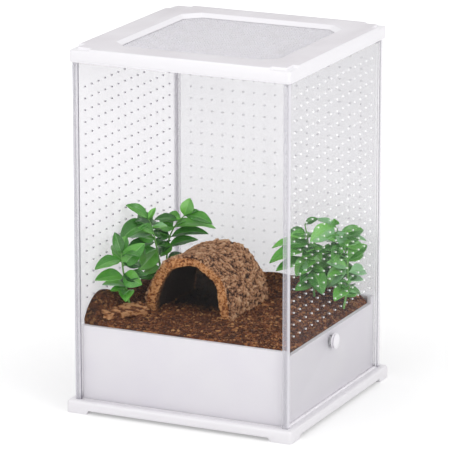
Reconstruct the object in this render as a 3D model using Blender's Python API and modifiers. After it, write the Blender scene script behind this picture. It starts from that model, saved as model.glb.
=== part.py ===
"""Mini terrarium: a clear box with a top-hung side door, a planted tray and a lift-off mesh lid.

Metres, +Z up. The origin is the middle of the base's footprint, on the surface it stands on.
The front window faces -Y and the door is on +X.
"""
import math

import bmesh
import bpy
from mathutils import Matrix, Vector

# Fits
GAP = 0.0003              # between pieces that touch
RUN_GAP = 0.0005          # between pieces that slide past each other
HALF_TURN = math.pi

# Body: corner posts with flat panels between them
BODY_SIDE = 0.196         # across the outer faces of the posts
WALL_HEIGHT = 0.3003      # panels and posts
PANEL_WALL = 0.0025
POST_WALL = 0.0012
POST_LEG = 0.0046
POST_ROUND = 0.0008

# Base
BASE_LEDGE = 0.006        # how far the base stands out past the posts
FOOT_HEIGHT = 0.0034
FOOT_SLANT = 0.0017
FOOT_CLEARANCE = 0.002    # end of a foot to the end of the recess it stacks in
RIM_HEIGHT = 0.0075
RIM_WALL = 0.0026
BASE_PLATE = 0.004
BASE_CORNER = 0.0035
BASE_ROUND = 0.002
GROOVE_DEPTH = 0.0016

# Lid
SKIRT_WALL = 0.0017
SKIRT_HEIGHT = 0.012
LID_PLATE = 0.0038
LID_CORNER = 0.003
LID_ROUND = 0.001
LID_BORDER = 0.025        # outer edge to the window
WINDOW_CHAMFER = 0.013
WINDOW_SLANT = 0.003      # the window's walls lean in by this much over the plate
RECESS_WIDTH = 0.006
RECESS_LENGTH = 0.017
RECESS_DEPTH = 0.002
RECESS_SLANT = 0.002
MESH_WALL = 0.0005
MESH_OPENINGS = 12        # openings across the sheet, which stand in for its fine weave
MESH_BAR = 0.004          # between two openings
RING_WALL = 0.002
RING_WIDTH = 0.0075
RING_LAP = 0.0025         # how far the ring reaches under the mesh
SCREW_INSET = 0.0015      # screw's axis outside the mesh's edge
SCREW_SHANK = 0.002
SCREW_HEAD = 0.004
SCREW_HEAD_HEIGHT = 0.0012
SCREW_BITE = 0.0026
SCREW_HOLE_GAP = 0.0002   # around a screw's shank

# Door
DOOR_TOP_GAP = 0.001
HEADER_HEIGHT = 0.0075
HINGE_DROP = 0.0022       # door's top edge to the hinge axis
PIN_DIAMETER = 0.0012
PIN_GAP = 0.0002
PIN_BITE_PANEL = 0.0015
PIN_BITE_DOOR = 0.0057
KNOB_HEIGHT_Z = 0.060     # knob's axis above the ground
KNOB_FLANGE = 0.013
KNOB_FLANGE_HEIGHT = 0.0013
KNOB_NECK = 0.0104
KNOB_NECK_HEIGHT = 0.0008
KNOB_HEAD = 0.0132
KNOB_HEAD_HEIGHT = 0.0018
MAGNET_DIAMETER = 0.008
MAGNET_HEIGHT = 0.0012

# Tray and what it holds
TRAY_HEIGHT = 0.0638
TRAY_WALL = 0.0022
TRAY_CORNER = 0.0015
TRAY_LIP = 0.004          # lip's width, and the wall's thickness on the door's side
TRAY_LIP_HEIGHT = 0.0025
SILL_DROP = 0.006         # how much lower the tray's wall is on the door's side
SILL_REACH = 0.020        # how far in the soil falls towards it
SOIL_EDGE = 0.0004        # soil's edge above the tray's lip
SOIL_CROWN = 0.003        # soil's middle above its edge
SOIL_EASE = 0.008
SOIL_RIPPLE = 0.0007
LEFT_BANK = 0.008         # soil banked against the left panel
LEFT_REACH = 0.013
MOUND_HEIGHT = 0.011      # mound on that bank
MOUND_LENGTH = 0.026
MOUND_Y = -0.062
BACK_BANK = 0.007         # soil banked against the back panel
BACK_REACH = 0.016
SOIL_CELLS = 18

# Cork bark: a half tube that lies along Y
BARK_X = -0.020
BARK_FRONT = -0.040
BARK_LENGTH = 0.074
BARK_WIDTH = 0.080
BARK_RISE = 0.0535
BARK_WALL = 0.009
BARK_POWER = 2.4          # 2 is an ellipse, more is squarer
BARK_FALL = 0.0045        # how much lower its back end is
BARK_SINK = 0.002         # how deep it stands in the soil
CHIP_LENGTH = 0.042
CHIP_WIDTH = 0.013
CHIP_WALL = 0.0032
CHIP_X = -0.068
CHIP_Y = -0.064
CHIP_RISE = 0.0034        # its middle above the soil's level
CHIP_HEADING = math.radians(60)

# Plants. Their table is in millimetres: x, y, and z above the soil's level.
# Each stem has a foot, a middle and a tip. A leaf is (share of the stem, tip, width, tilt in degrees
# of its face from the sky towards the front light).
PLANT_UNIT = 0.001
STEM_DIAMETER = 0.0018
STEM_ROOT = 0.012
STEM_SOIL_GAP = 0.0008    # soil pressed back around a stem
LEAF_WALL = 0.0011
LEAF_FOLD = 0.2           # rise of a leaf's edges, of its half width
LEAF_BOW = 0.09           # rise of its middle, of its length
LEAF_BELLY = 0.85         # under 1 puts a leaf's widest place towards its stalk
LEAF_END = 0.3            # half width of its ends, of the stem
LEAF_STEPS = 4
FRONT_LIGHT = Vector((0.43, -0.90, 0.0))
PLANTS = {
    "plant_front_left": (
        ((-71, -48, 0), (-74, -54, 35), (-75, -56, 53)),
        (
            (0.75, (-90, -76, 41), 12, 35), (0.42, (-91, -74, 31), 13, 40), (0.27, (-90, -62, 24), 10, 15),
            (0.60, (-58, -45, 60), 14, 55), (0.46, (-55, -57, 27), 14, 80), (0.22, (-66, -66, 13), 12, 70),
            (0.95, (-82, -54, 69), 9, 60), (0.94, (-76, -45, 64), 8, 60), (0.68, (-87, -48, 52), 8, 30),
        ),
    ),
    "plant_middle_left": (
        ((-66, 8, 0), (-70, 0, 47), (-75, -5, 70)),
        (
            (0.98, (-90, -17, 83), 10, 30), (0.97, (-70, 0, 79), 5, 50), (0.86, (-90, -29, 54), 15, 25),
            (0.64, (-90, -11, 53), 12, 30), (0.52, (-89, -20, 42), 13, 25), (0.42, (-78, -18, 27), 14, 80),
            (0.25, (-79, -6, 20), 8, 50), (0.76, (-64, 10, 61), 7, 35),
        ),
    ),
    "plant_back_left": (
        ((-72, 34, 0), (-76, 36, 38), (-61, 40, 64)),
        (
            (0.97, (-59, 45, 78), 11, 80), (1.00, (-51, 45, 68), 5, 40), (0.98, (-37, 43, 58), 12, 25),
            (0.92, (-78, 40, 62), 9, 65), (0.88, (-83, 24, 61), 10, 20), (0.75, (-37, 50, 52), 13, 25),
            (0.58, (-43, 48, 47), 12, 25), (0.53, (-77, 23, 29), 11, 80), (0.44, (-54, 50, 40), 11, 25),
        ),
    ),
    "plant_back_middle": (
        ((54, 56, 0), (48, 60, 34), (42, 62, 62)),
        (
            (1.00, (52, 67, 67), 6, 40), (0.84, (33, 49, 52), 8, 25), (0.76, (35, 56, 42), 9, 80),
            (0.62, (20, 37, 31), 15, 30), (0.68, (17, 49, 41), 11, 20), (0.44, (25, 40, 24), 13, 20),
            (0.34, (67, 44, 7), 15, 30), (0.68, (59, 60, 32), 11, 80), (0.15, (42, 42, 8), 10, 30),
            (0.52, (42, 44, 20), 12, 40),
        ),
    ),
    "plant_back_right": (
        ((82, 54, 0), (80, 66, 32), (65, 72, 62)),
        (
            (0.99, (69, 62, 70), 7, 65), (0.97, (52, 51, 50), 15, 50), (0.90, (79, 64, 44), 11, 20),
            (0.96, (49, 71, 65), 7, 25), (0.76, (89, 86, 47), 8, 15), (0.50, (90, 86, 43), 12, 30),
            (0.38, (90, 84, 19), 12, 50), (0.28, (90, 80, 13), 8, 30), (0.45, (66, 55, 10), 14, 35),
            (0.22, (80, 39, 4), 12, 35), (0.12, (90, 66, 5), 8, 35), (0.74, (73, 52, 33), 10, 20),
        ),
    ),
}

# Places worked out from the sizes above
BODY_HALF = BODY_SIDE / 2
PANEL_OUT = BODY_HALF - POST_WALL - GAP
PANEL_IN = PANEL_OUT - PANEL_WALL
SIDE_PANEL_HALF = PANEL_IN - GAP
DOOR_HALF = BODY_HALF - POST_LEG - GAP
BASE_HALF = BODY_HALF + BASE_LEDGE
BASE_TOP = FOOT_HEIGHT + RIM_HEIGHT
GROOVE_FLOOR = BASE_TOP - GROOVE_DEPTH
PANEL_BOTTOM = GROOVE_FLOOR + GAP
PANEL_TOP = PANEL_BOTTOM + WALL_HEIGHT
LID_UNDER = PANEL_TOP + GAP
LID_TOP = LID_UNDER + LID_PLATE
SKIRT_IN = BODY_HALF + GAP
LID_HALF = SKIRT_IN + SKIRT_WALL
SKIRT_BOTTOM = LID_TOP - SKIRT_HEIGHT
RECESS_FLOOR = LID_TOP - RECESS_DEPTH
RECESS_IN = LID_HALF - RECESS_WIDTH
RECESS_END = LID_HALF - RECESS_LENGTH
FOOT_IN = RECESS_IN + GAP
FOOT_END = RECESS_END + FOOT_CLEARANCE
WINDOW_HALF = LID_HALF - LID_BORDER
MESH_TOP = LID_UNDER - GAP
RING_TOP = MESH_TOP - MESH_WALL - GAP
RING_BOTTOM = RING_TOP - RING_WALL
SCREW_PLACE = WINDOW_HALF + SCREW_INSET
DOOR_BOTTOM = BASE_TOP + RUN_GAP
HEADER_BOTTOM = PANEL_TOP - HEADER_HEIGHT
DOOR_TOP = HEADER_BOTTOM - DOOR_TOP_GAP
HINGE_X = (PANEL_OUT + PANEL_IN) / 2
HINGE_Z = DOOR_TOP - HINGE_DROP
TRAY_HALF = PANEL_IN - RUN_GAP
TRAY_BOTTOM = BASE_TOP + GAP
TRAY_TOP = TRAY_BOTTOM + TRAY_HEIGHT
TRAY_OPENING = TRAY_HALF - TRAY_LIP
SOIL_HALF = TRAY_OPENING - RUN_GAP
SOIL_BOTTOM = TRAY_BOTTOM + TRAY_WALL + GAP
SILL_TOP = TRAY_TOP - SILL_DROP
SOIL_LEVEL = TRAY_TOP + SOIL_EDGE + SOIL_CROWN

WHITE = (0.93, 0.92, 0.94)
CLEAR = (0.92, 0.92, 0.94)
SOIL = (0.12, 0.075, 0.05)
CORK = (0.30, 0.20, 0.14)
GREEN = (0.16, 0.36, 0.13)
STEEL = (0.62, 0.62, 0.64)
MESH_GREY = (0.80, 0.79, 0.82)


def clear_scene():
    """Empties the scene and makes the two collections."""
    for old in list(bpy.data.objects):
        bpy.data.objects.remove(old, do_unlink=True)
    for name in ("mini_terrarium", "cutters"):
        bpy.context.scene.collection.children.link(bpy.data.collections.new(name))


def material(name, colour, roughness, metallic=0.0, transmission=0.0):
    """A Principled material with a plain finish."""
    made = bpy.data.materials.new(name)
    made.use_nodes = True
    shader = made.node_tree.nodes["Principled BSDF"]
    shader.inputs["Base Color"].default_value = (*colour, 1.0)
    shader.inputs["Roughness"].default_value = roughness
    shader.inputs["Metallic"].default_value = metallic
    shader.inputs["Transmission Weight"].default_value = transmission
    return made


def add_object(name, mesh, place=(0, 0, 0)):
    """Puts a mesh into the parts collection as a named object."""
    made = bpy.data.objects.new(name, mesh)
    made.location = place
    bpy.data.collections["mini_terrarium"].objects.link(made)
    return made


def finish(item, colour, roughness, metallic=0.0, transmission=0.0):
    """Gives a finished sub-part its own material."""
    item.data.materials.clear()
    item.data.materials.append(material(item.name, colour, roughness, metallic, transmission))
    return item


def smooth_round(item, angle=40):
    """Smooth shading with sharp creases."""
    item.data.shade_smooth()
    item.data.set_sharp_from_angle(angle=math.radians(angle))


def mesh_from(bm, name):
    """Writes a bmesh to a new mesh."""
    bmesh.ops.recalc_face_normals(bm, faces=bm.faces)
    mesh = bpy.data.meshes.new(name)
    bm.to_mesh(mesh)
    bm.free()
    return mesh


def block(name, low, high, top_growth=0.0, growth_axes=(True, True)):
    """A box between two corners. Its top face may be larger by top_growth a side."""
    low = Vector(low)
    high = Vector(high)
    size = high - low
    bm = bmesh.new()
    bmesh.ops.create_cube(bm, size=1.0)
    bmesh.ops.scale(bm, vec=size, verts=bm.verts)
    for vert in bm.verts:
        if vert.co.z > 0:
            for axis in (0, 1):
                if growth_axes[axis]:
                    vert.co[axis] += top_growth * math.copysign(1, vert.co[axis])
    return add_object(name, mesh_from(bm, name), (low + high) / 2)


def rounded_square(half, radius, steps=5):
    """Corner points of a square with round corners, centred on the origin."""
    points = []
    for corner in range(4):
        turn = corner * HALF_TURN / 2
        middle = Matrix.Rotation(turn, 2) @ Vector((half - radius, half - radius))
        for step in range(steps + 1):
            angle = turn + step / steps * HALF_TURN / 2
            points.append(middle + radius * Vector((math.cos(angle), math.sin(angle))))
    return points


def chamfered_square(half, chamfer):
    """A square whose corners are cut off at 45 degrees."""
    points = []
    for corner in range(4):
        turn = Matrix.Rotation(corner * HALF_TURN / 2, 2)
        points.append(turn @ Vector((half, half - chamfer)))
        points.append(turn @ Vector((half - chamfer, half)))
    return points


def square_openings(half, count, bar):
    """Outlines of square openings, count across, in a square of that half width."""
    pitch = 2 * half / count
    outlines = []
    for column in range(count):
        for row in range(count):
            middle = Vector((pitch * (column + 0.5) - half, pitch * (row + 0.5) - half))
            outlines.append([middle + point for point in chamfered_square((pitch - bar) / 2, 0.0)[::2]])
    return outlines


def plate(name, outlines, low_z, high_z):
    """A flat plate from closed outlines, the inner ones being holes, as a mesh object."""
    curve = bpy.data.curves.new(name, "CURVE")
    curve.dimensions = "2D"
    curve.fill_mode = "BOTH"
    curve.extrude = (high_z - low_z) / 2
    for outline in outlines:
        spline = curve.splines.new("POLY")
        spline.points.add(len(outline) - 1)
        for point, place in zip(spline.points, outline):
            point.co = (place[0], place[1], 0.0, 1.0)
        spline.use_cyclic_u = True
    drawn = bpy.data.objects.new(name + "_outline", curve)
    drawn.location = (0, 0, (low_z + high_z) / 2)
    return curve_to_mesh(drawn, name)


def curve_to_mesh(drawn, name):
    """Replaces a curve object with a closed mesh object in the same place."""
    bpy.data.collections["mini_terrarium"].objects.link(drawn)
    bpy.context.view_layer.update()
    seen = drawn.evaluated_get(bpy.context.evaluated_depsgraph_get())
    mesh = bpy.data.meshes.new_from_object(seen)
    mesh.name = name
    bm = bmesh.new()
    bm.from_mesh(mesh)
    bmesh.ops.remove_doubles(bm, verts=bm.verts, dist=1e-6)
    bmesh.ops.recalc_face_normals(bm, faces=bm.faces)
    if drawn.data.dimensions == "2D" and len(drawn.data.splines) == 1:
        bmesh.ops.dissolve_limit(bm, angle_limit=math.radians(1), verts=bm.verts, edges=bm.edges)
    bm.to_mesh(mesh)
    bm.free()
    made = add_object(name, mesh)
    made.matrix_world = drawn.matrix_world.copy()
    bpy.data.objects.remove(drawn, do_unlink=True)
    return made


def turned(name, profile, steps=24):
    """A turned piece: a profile of (radius, height) pairs, from the top of its axis to the bottom."""
    bm = bmesh.new()
    verts = [bm.verts.new((radius, 0.0, height)) for radius, height in profile]
    for first, second in zip(verts, verts[1:]):
        bm.edges.new((first, second))
    mesh = bpy.data.meshes.new(name)
    bm.to_mesh(mesh)
    bm.free()
    made = add_object(name, mesh)
    screw = made.modifiers.new("turn", "SCREW")
    screw.steps = steps
    screw.render_steps = steps
    screw.use_merge_vertices = True
    screw.merge_threshold = 1e-6
    return made


def rod(name, diameter, low_z, high_z, steps=20):
    """A plain cylinder along Z."""
    radius = diameter / 2
    return turned(name, ((0, high_z), (radius, high_z), (radius, low_z), (0, low_z)), steps)


def cut(target, cutter):
    """Takes a cutter out of a piece and hides the cutter."""
    combine(target, cutter, "DIFFERENCE")


def join(target, operand, crossing=False):
    """Fuses a second shape into a piece and hides the second shape."""
    combine(target, operand, "UNION", crossing)


def combine(target, operand, operation, crossing=False):
    """Adds one Boolean modifier. Its operand moves to the cutters collection."""
    bpy.data.collections["mini_terrarium"].objects.unlink(operand)
    bpy.data.collections["cutters"].objects.link(operand)
    operand.hide_render = True
    operand.display_type = "WIRE"
    step = target.modifiers.new(operand.name, "BOOLEAN")
    step.operation = operation
    step.solver = "EXACT"
    step.use_self = crossing
    step.object = operand


def round_top(item, width, steps=3):
    """Rounds the outer edges of a plate's top face."""
    bm = bmesh.new()
    bm.from_mesh(item.data)
    top = max(vert.co.z for vert in bm.verts)
    upper = [edge for edge in bm.edges if all(abs(vert.co.z - top) < 1e-6 for vert in edge.verts)]
    rim = [edge for edge in upper if not all(face.normal.z > 0.9 for face in edge.link_faces)]
    bmesh.ops.bevel(bm, geom=rim, offset=width, segments=steps, profile=0.5, affect="EDGES")
    bm.to_mesh(item.data)
    bm.free()


def corner_gaps(item, half_low, half_high, low_z, high_z, reach):
    """Cuts the middle of each side away, and leaves a slanted-ended L at each corner."""
    grow = half_high - half_low
    along_y = ((-half_low, -reach, low_z), (half_low, reach, high_z))
    along_x = ((-reach, -half_low, low_z), (reach, half_low, high_z))
    cut(item, block(item.name + "_gap_front_back", *along_y, grow, (True, False)))
    cut(item, block(item.name + "_gap_sides", *along_x, grow, (False, True)))


def post_outline(leg, wall, out, radius, grow=0.0):
    """L section of the corner post at +X +Y, grown all round by grow for its socket."""
    outer = out + grow
    inner = out - wall - grow
    end = out - leg - grow
    points = [Vector((end, outer))]
    for step in range(4, -1, -1):
        angle = step / 4 * HALF_TURN / 2
        middle = Vector((out - radius, out - radius))
        points.append(middle + (radius + grow) * Vector((math.cos(angle), math.sin(angle))))
    points.append(Vector((outer, end)))
    points.append(Vector((inner, end)))
    points.append(Vector((inner, inner)))
    points.append(Vector((end, inner)))
    return points


def quarter_turns(points, turns):
    """Turns an outline about the origin by a number of quarter turns."""
    turn = Matrix.Rotation(turns * HALF_TURN / 2, 2)
    return [turn @ point for point in points]


CORNERS = (("back_right", 0), ("back_left", 1), ("front_left", 2), ("front_right", 3))


def make_base():
    """Plinth with corner feet, hollow underneath, with grooves for three panels and four posts."""
    base = plate("base_frame", [rounded_square(BASE_HALF, BASE_CORNER)], 0.0, BASE_TOP)
    round_top(base, BASE_ROUND)
    arm = FOOT_END - 2 * FOOT_SLANT
    rim_in = BASE_HALF - RIM_WALL
    for name, half_x, half_y in (("middle", FOOT_IN, FOOT_IN), ("ends", arm, rim_in), ("sides", rim_in, arm)):
        low = (-half_x, -half_y, -FOOT_HEIGHT)
        cut(base, block("base_pocket_" + name, low, (half_x, half_y, BASE_TOP - BASE_PLATE)))
    corner_gaps(base, FOOT_END + FOOT_SLANT, FOOT_END - FOOT_SLANT, -FOOT_HEIGHT, FOOT_HEIGHT, BASE_HALF * 2)
    groove_in = PANEL_IN - GAP
    groove_out = PANEL_OUT + GAP
    above = BASE_TOP + BASE_PLATE
    lows = ((-groove_out, -groove_out), (-groove_out, groove_in), (-groove_out, -groove_in - GAP))
    highs = ((groove_out, -groove_in), (groove_out, groove_out), (-groove_in, groove_in + GAP))
    for name, low, high in zip(("front", "back", "left"), lows, highs):
        cut(base, block("groove_" + name, (*low, GROOVE_FLOOR), (*high, above)))
    for name, turns in CORNERS:
        outline = post_outline(POST_LEG, POST_WALL, BODY_HALF, POST_ROUND, GAP)
        cut(base, plate("socket_" + name, [quarter_turns(outline, turns)], GROOVE_FLOOR, above))
    finish(base, WHITE, 0.4)


def make_posts():
    """Four clear corner profiles."""
    for name, turns in CORNERS:
        outline = quarter_turns(post_outline(POST_LEG, POST_WALL, BODY_HALF, POST_ROUND), turns)
        post = plate("corner_post_" + name, [outline], PANEL_BOTTOM, PANEL_TOP)
        finish(post, CLEAR, 0.15, transmission=0.6)


def make_pin_hole(panel, name, low_y, high_y):
    """A blind or through hole for a hinge pin."""
    hole = rod(name, PIN_DIAMETER + 2 * PIN_GAP, low_y, high_y, 12)
    hole.rotation_euler = (-HALF_TURN / 2, 0, 0)
    hole.location = (HINGE_X, 0, HINGE_Z)
    cut(panel, hole)


def make_panels():
    """The fixed clear walls and the strip over the door."""
    front = block("front_window", (-PANEL_OUT, -PANEL_OUT, PANEL_BOTTOM), (PANEL_OUT, -PANEL_IN, PANEL_TOP))
    make_pin_hole(front, "front_pin_hole", -PANEL_IN - PIN_BITE_PANEL - GAP, -PANEL_IN + GAP)
    back = block("back_panel", (-PANEL_OUT, PANEL_IN, PANEL_BOTTOM), (PANEL_OUT, PANEL_OUT, PANEL_TOP))
    make_pin_hole(back, "back_pin_hole", PANEL_IN - GAP, PANEL_IN + PIN_BITE_PANEL + GAP)
    left = block("left_panel", (-PANEL_OUT, -SIDE_PANEL_HALF, PANEL_BOTTOM), (-PANEL_IN, SIDE_PANEL_HALF, PANEL_TOP))
    header = block("door_header", (PANEL_IN, -SIDE_PANEL_HALF, HEADER_BOTTOM), (PANEL_OUT, SIDE_PANEL_HALF, PANEL_TOP))
    for panel in (front, back, left, header):
        finish(panel, CLEAR, 0.05, transmission=0.9)


def make_door():
    """The door panel, hung on its hinge axis by an origin there."""
    door = block("door_panel", (PANEL_IN, -DOOR_HALF, DOOR_BOTTOM), (PANEL_OUT, DOOR_HALF, DOOR_TOP))
    axis = Vector((HINGE_X, 0, HINGE_Z))
    door.data.transform(Matrix.Translation(door.location - axis))
    door.location = axis
    for name, side in (("front", -1), ("back", 1)):
        ends = sorted((side * (DOOR_HALF + GAP), side * (DOOR_HALF - PIN_BITE_DOOR - GAP)))
        make_pin_hole(door, "door_hole_" + name, *ends)
        pin_ends = sorted((side * (PANEL_IN + PIN_BITE_PANEL), side * (DOOR_HALF - PIN_BITE_DOOR)))
        pin = rod("hinge_pin_" + name, PIN_DIAMETER, *pin_ends, 12)
        pin.rotation_euler = (-HALF_TURN / 2, 0, 0)
        pin.location = axis
        smooth_round(pin)
        finish(pin, STEEL, 0.3, metallic=1.0)
    finish(door, CLEAR, 0.05, transmission=0.9)


def knob_profile():
    """Knob from the middle of its domed head to its base, with the pocket for the magnet."""
    head_low = KNOB_FLANGE_HEIGHT + KNOB_NECK_HEIGHT
    top = head_low + KNOB_HEAD_HEIGHT
    head = KNOB_HEAD / 2
    edge = KNOB_HEAD_HEIGHT / 3
    pocket = MAGNET_DIAMETER / 2 + GAP
    return (
        (0, top), (head * 0.5, top - 0.05 * KNOB_HEAD_HEIGHT), (head * 0.85, top - 0.25 * KNOB_HEAD_HEIGHT),
        (head, head_low + edge), (head, head_low + edge / 2), (head - edge / 2, head_low), (KNOB_NECK / 2, head_low),
        (KNOB_NECK / 2, KNOB_FLANGE_HEIGHT), (KNOB_FLANGE / 2, KNOB_FLANGE_HEIGHT), (KNOB_FLANGE / 2, 0),
        (pocket, 0), (pocket, MAGNET_HEIGHT + 2 * GAP), (0, MAGNET_HEIGHT + 2 * GAP),
    )


def make_knob():
    """Button knob on the door's outer face, and the magnet in its foot."""
    knob = turned("door_knob", knob_profile(), 32)
    magnet = turned("knob_magnet", disc_profile(MAGNET_DIAMETER, 0.0, MAGNET_HEIGHT), 24)
    for item in (knob, magnet):
        item.rotation_euler = (0, HALF_TURN / 2, 0)
        item.location = (PANEL_OUT + GAP, 0, KNOB_HEIGHT_Z)
        smooth_round(item)
    finish(knob, WHITE, 0.25)
    finish(magnet, STEEL, 0.3, metallic=1.0)


def disc_profile(diameter, low_z, high_z):
    """Profile of a disc whose edges are slightly rounded."""
    radius = diameter / 2
    edge = (high_z - low_z) / 8
    return (
        (0, high_z), (radius - edge, high_z), (radius, high_z - edge),
        (radius, low_z + edge), (radius - edge, low_z), (0, low_z),
    )


def make_tray():
    """White pan with an inward lip, lower on the door's side, where a magnet sits behind the knob."""
    tray = plate("substrate_tray", [rounded_square(TRAY_HALF, TRAY_CORNER)], TRAY_BOTTOM, TRAY_TOP)
    thicker = Vector((TRAY_LIP - TRAY_WALL, 0))
    inner = rounded_square(TRAY_HALF - TRAY_WALL, TRAY_CORNER, 3)
    cavity = [point - thicker if point.x > 0 else point for point in inner]
    lip_bottom = TRAY_TOP - TRAY_LIP_HEIGHT
    cut(tray, plate("tray_cavity", [cavity], TRAY_BOTTOM + TRAY_WALL, lip_bottom))
    opening = rounded_square(TRAY_OPENING, TRAY_CORNER, 2)
    cut(tray, plate("tray_opening", [opening], lip_bottom - TRAY_WALL, TRAY_TOP + TRAY_WALL))
    sill_end = TRAY_OPENING - TRAY_CORNER
    low = (sill_end, -sill_end, SILL_TOP)
    cut(tray, block("tray_sill", low, (TRAY_HALF + TRAY_WALL, sill_end, TRAY_TOP + TRAY_WALL)))
    pocket = rod("magnet_pocket", MAGNET_DIAMETER + 2 * GAP, TRAY_HALF - MAGNET_HEIGHT - 2 * GAP, TRAY_HALF + TRAY_WALL)
    magnet = turned("tray_magnet", disc_profile(MAGNET_DIAMETER, 0.0, MAGNET_HEIGHT), 20)
    for item in (pocket, magnet):
        item.rotation_euler = (0, HALF_TURN / 2, 0)
        item.location = (0, 0, KNOB_HEIGHT_Z)
    cut(tray, pocket)
    magnet.location.x = TRAY_HALF - GAP - MAGNET_HEIGHT
    smooth_round(magnet)
    finish(tray, WHITE, 0.35)
    finish(magnet, STEEL, 0.3, metallic=1.0)


def soil_height(x, y):
    """Height of the soil: level with the tray at the front and right, mounded at the left and back."""
    from_front = max(y + SOIL_HALF, 0.0)
    from_right = max(SOIL_HALF - x, 0.0)
    ease = (1 - math.exp(-from_front / SOIL_EASE)) * (1 - math.exp(-from_right / SOIL_EASE))
    at_left = math.exp(-(((x + SOIL_HALF) / LEFT_REACH) ** 2))
    at_back = math.exp(-(((SOIL_HALF - y) / BACK_REACH) ** 2))
    mound = MOUND_HEIGHT * math.exp(-(((y - MOUND_Y) / MOUND_LENGTH) ** 2))
    left = (LEFT_BANK * ease + mound) * at_left
    ripple = math.sin(x * 190 + 1.0) * math.sin(y * 160 + x * 60)
    rise = left + (SOIL_CROWN + BACK_BANK * at_back) * ease
    fall = SILL_DROP * math.exp(-((from_right / SILL_REACH) ** 2))
    return TRAY_TOP + SOIL_EDGE + rise - fall + SOIL_RIPPLE * ripple * ease


def make_soil():
    """Soil that fills the tray, with sockets for the stems and for what lies in it."""
    bm = bmesh.new()
    bmesh.ops.create_grid(bm, x_segments=SOIL_CELLS, y_segments=SOIL_CELLS, size=SOIL_HALF)
    for vert in bm.verts:
        vert.co.z = soil_height(vert.co.x, vert.co.y)
    lower = bmesh.ops.extrude_face_region(bm, geom=list(bm.faces))
    under = [item for item in lower["geom"] if isinstance(item, bmesh.types.BMVert)]
    for vert in under:
        vert.co.z = SOIL_BOTTOM
    flat = [face for face in bm.faces if all(abs(vert.co.z - SOIL_BOTTOM) < 1e-7 for vert in face.verts)]
    bmesh.ops.dissolve_faces(bm, faces=flat)
    soil = add_object("substrate", mesh_from(bm, "substrate"))
    cut(soil, bark_shell("bark_bed", GAP))
    cut(soil, chip_block("chip_bed", GAP))
    for name, (stem, leaves) in PLANTS.items():
        foot = stem_point(stem, 0.0)
        hole = rod(name + "_hole", STEM_DIAMETER + 2 * STEM_SOIL_GAP, -STEM_ROOT - GAP, STEM_ROOT, 10)
        hole.location = foot
        cut(soil, hole)
    finish(soil, SOIL, 0.95)


def bark_base():
    """Height at which the bark's feet stand."""
    return SOIL_LEVEL - BARK_SINK


def bark_shell(name, grow):
    """The half tube: an arched sheet with a wall. A grown copy is the bed it stands in."""
    bm = bmesh.new()
    bmesh.ops.create_grid(bm, x_segments=14, y_segments=8, size=0.5)
    for vert in bm.verts:
        angle = (0.5 - vert.co.x) * HALF_TURN
        along = vert.co.y
        lump = 1 + 0.030 * math.sin(3 * angle + 5 * along) + 0.018 * math.sin(8 * angle - 7 * along)
        ragged = 0.0016 * math.sin(7 * angle) * math.copysign(1, along)
        half = (BARK_WIDTH / 2) * lump + grow
        rise = (BARK_RISE - BARK_FALL * (along + 0.5)) * lump + grow
        drop = grow if abs(math.sin(angle)) < 1e-6 else 0.0
        out = math.copysign(abs(math.cos(angle)) ** (2 / BARK_POWER), math.cos(angle))
        up = abs(math.sin(angle)) ** (2 / BARK_POWER)
        y = BARK_FRONT + BARK_LENGTH / 2 + along * (BARK_LENGTH + 2 * grow) + ragged * abs(2 * along) ** 4
        vert.co = (BARK_X + half * out, y, bark_base() + rise * up - drop)
    shell = add_object(name, mesh_from(bm, name))
    top = max(shell.data.polygons, key=lambda face: face.center.z)
    if top.normal.z < 0:
        shell.data.flip_normals()
    wall = shell.modifiers.new("wall", "SOLIDIFY")
    wall.thickness = BARK_WALL + 2 * grow
    wall.offset = -1
    return shell


def chip_block(name, grow):
    """The flat piece of bark that leans on the mound, tapered, or its bed."""
    half = Vector((CHIP_LENGTH / 2 + grow, CHIP_WIDTH / 2 + grow, CHIP_WALL / 2 + grow))
    bm = bmesh.new()
    bmesh.ops.create_cube(bm, size=2.0)
    bmesh.ops.scale(bm, vec=half, verts=bm.verts)
    for vert in bm.verts:
        if vert.co.x < 0:
            vert.co.y *= 0.6
    made = add_object(name, mesh_from(bm, name), (CHIP_X, CHIP_Y, SOIL_LEVEL + CHIP_RISE))
    made.rotation_euler = (math.radians(-14), math.radians(1), CHIP_HEADING)
    return made


def make_bark():
    """Cork bark half tube and the loose chip."""
    bark = bark_shell("cork_bark", 0.0)
    chip = chip_block("bark_chip", 0.0)
    edges = chip.modifiers.new("worn edges", "BEVEL")
    edges.width = 0.0007
    edges.segments = 2
    for item in (bark, chip):
        finish(item, CORK, 0.95)


def plant_point(place):
    """A point of the plants' table, in metres."""
    x, y, z = place
    return Vector((x * PLANT_UNIT, y * PLANT_UNIT, SOIL_LEVEL + z * PLANT_UNIT))


def stem_point(stem, share):
    """Point on the curve through a stem's foot, which stands on the soil, its middle and its tip."""
    foot, middle, tip = [plant_point(place) for place in stem]
    foot.z = soil_height(foot.x, foot.y)
    low = 2 * (share - 0.5) * (share - 1)
    centre = -4 * share * (share - 1)
    high = 2 * share * (share - 0.5)
    return foot * low + middle * centre + tip * high


def stem_tube(name, stem):
    """The stem and the short root end that stands in the soil."""
    foot = stem_point(stem, 0.0)
    places = [foot - Vector((0, 0, STEM_ROOT)), foot]
    places += [stem_point(stem, step / 6) for step in range(1, 7)]
    curve = bpy.data.curves.new(name, "CURVE")
    curve.dimensions = "3D"
    curve.bevel_depth = STEM_DIAMETER / 2
    curve.bevel_resolution = 1
    curve.use_fill_caps = True
    spline = curve.splines.new("POLY")
    spline.points.add(len(places) - 1)
    for point, place in zip(spline.points, places):
        point.co = (*place, 1.0)
    drawn = bpy.data.objects.new(name + "_stem", curve)
    return curve_to_mesh(drawn, name)


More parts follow.
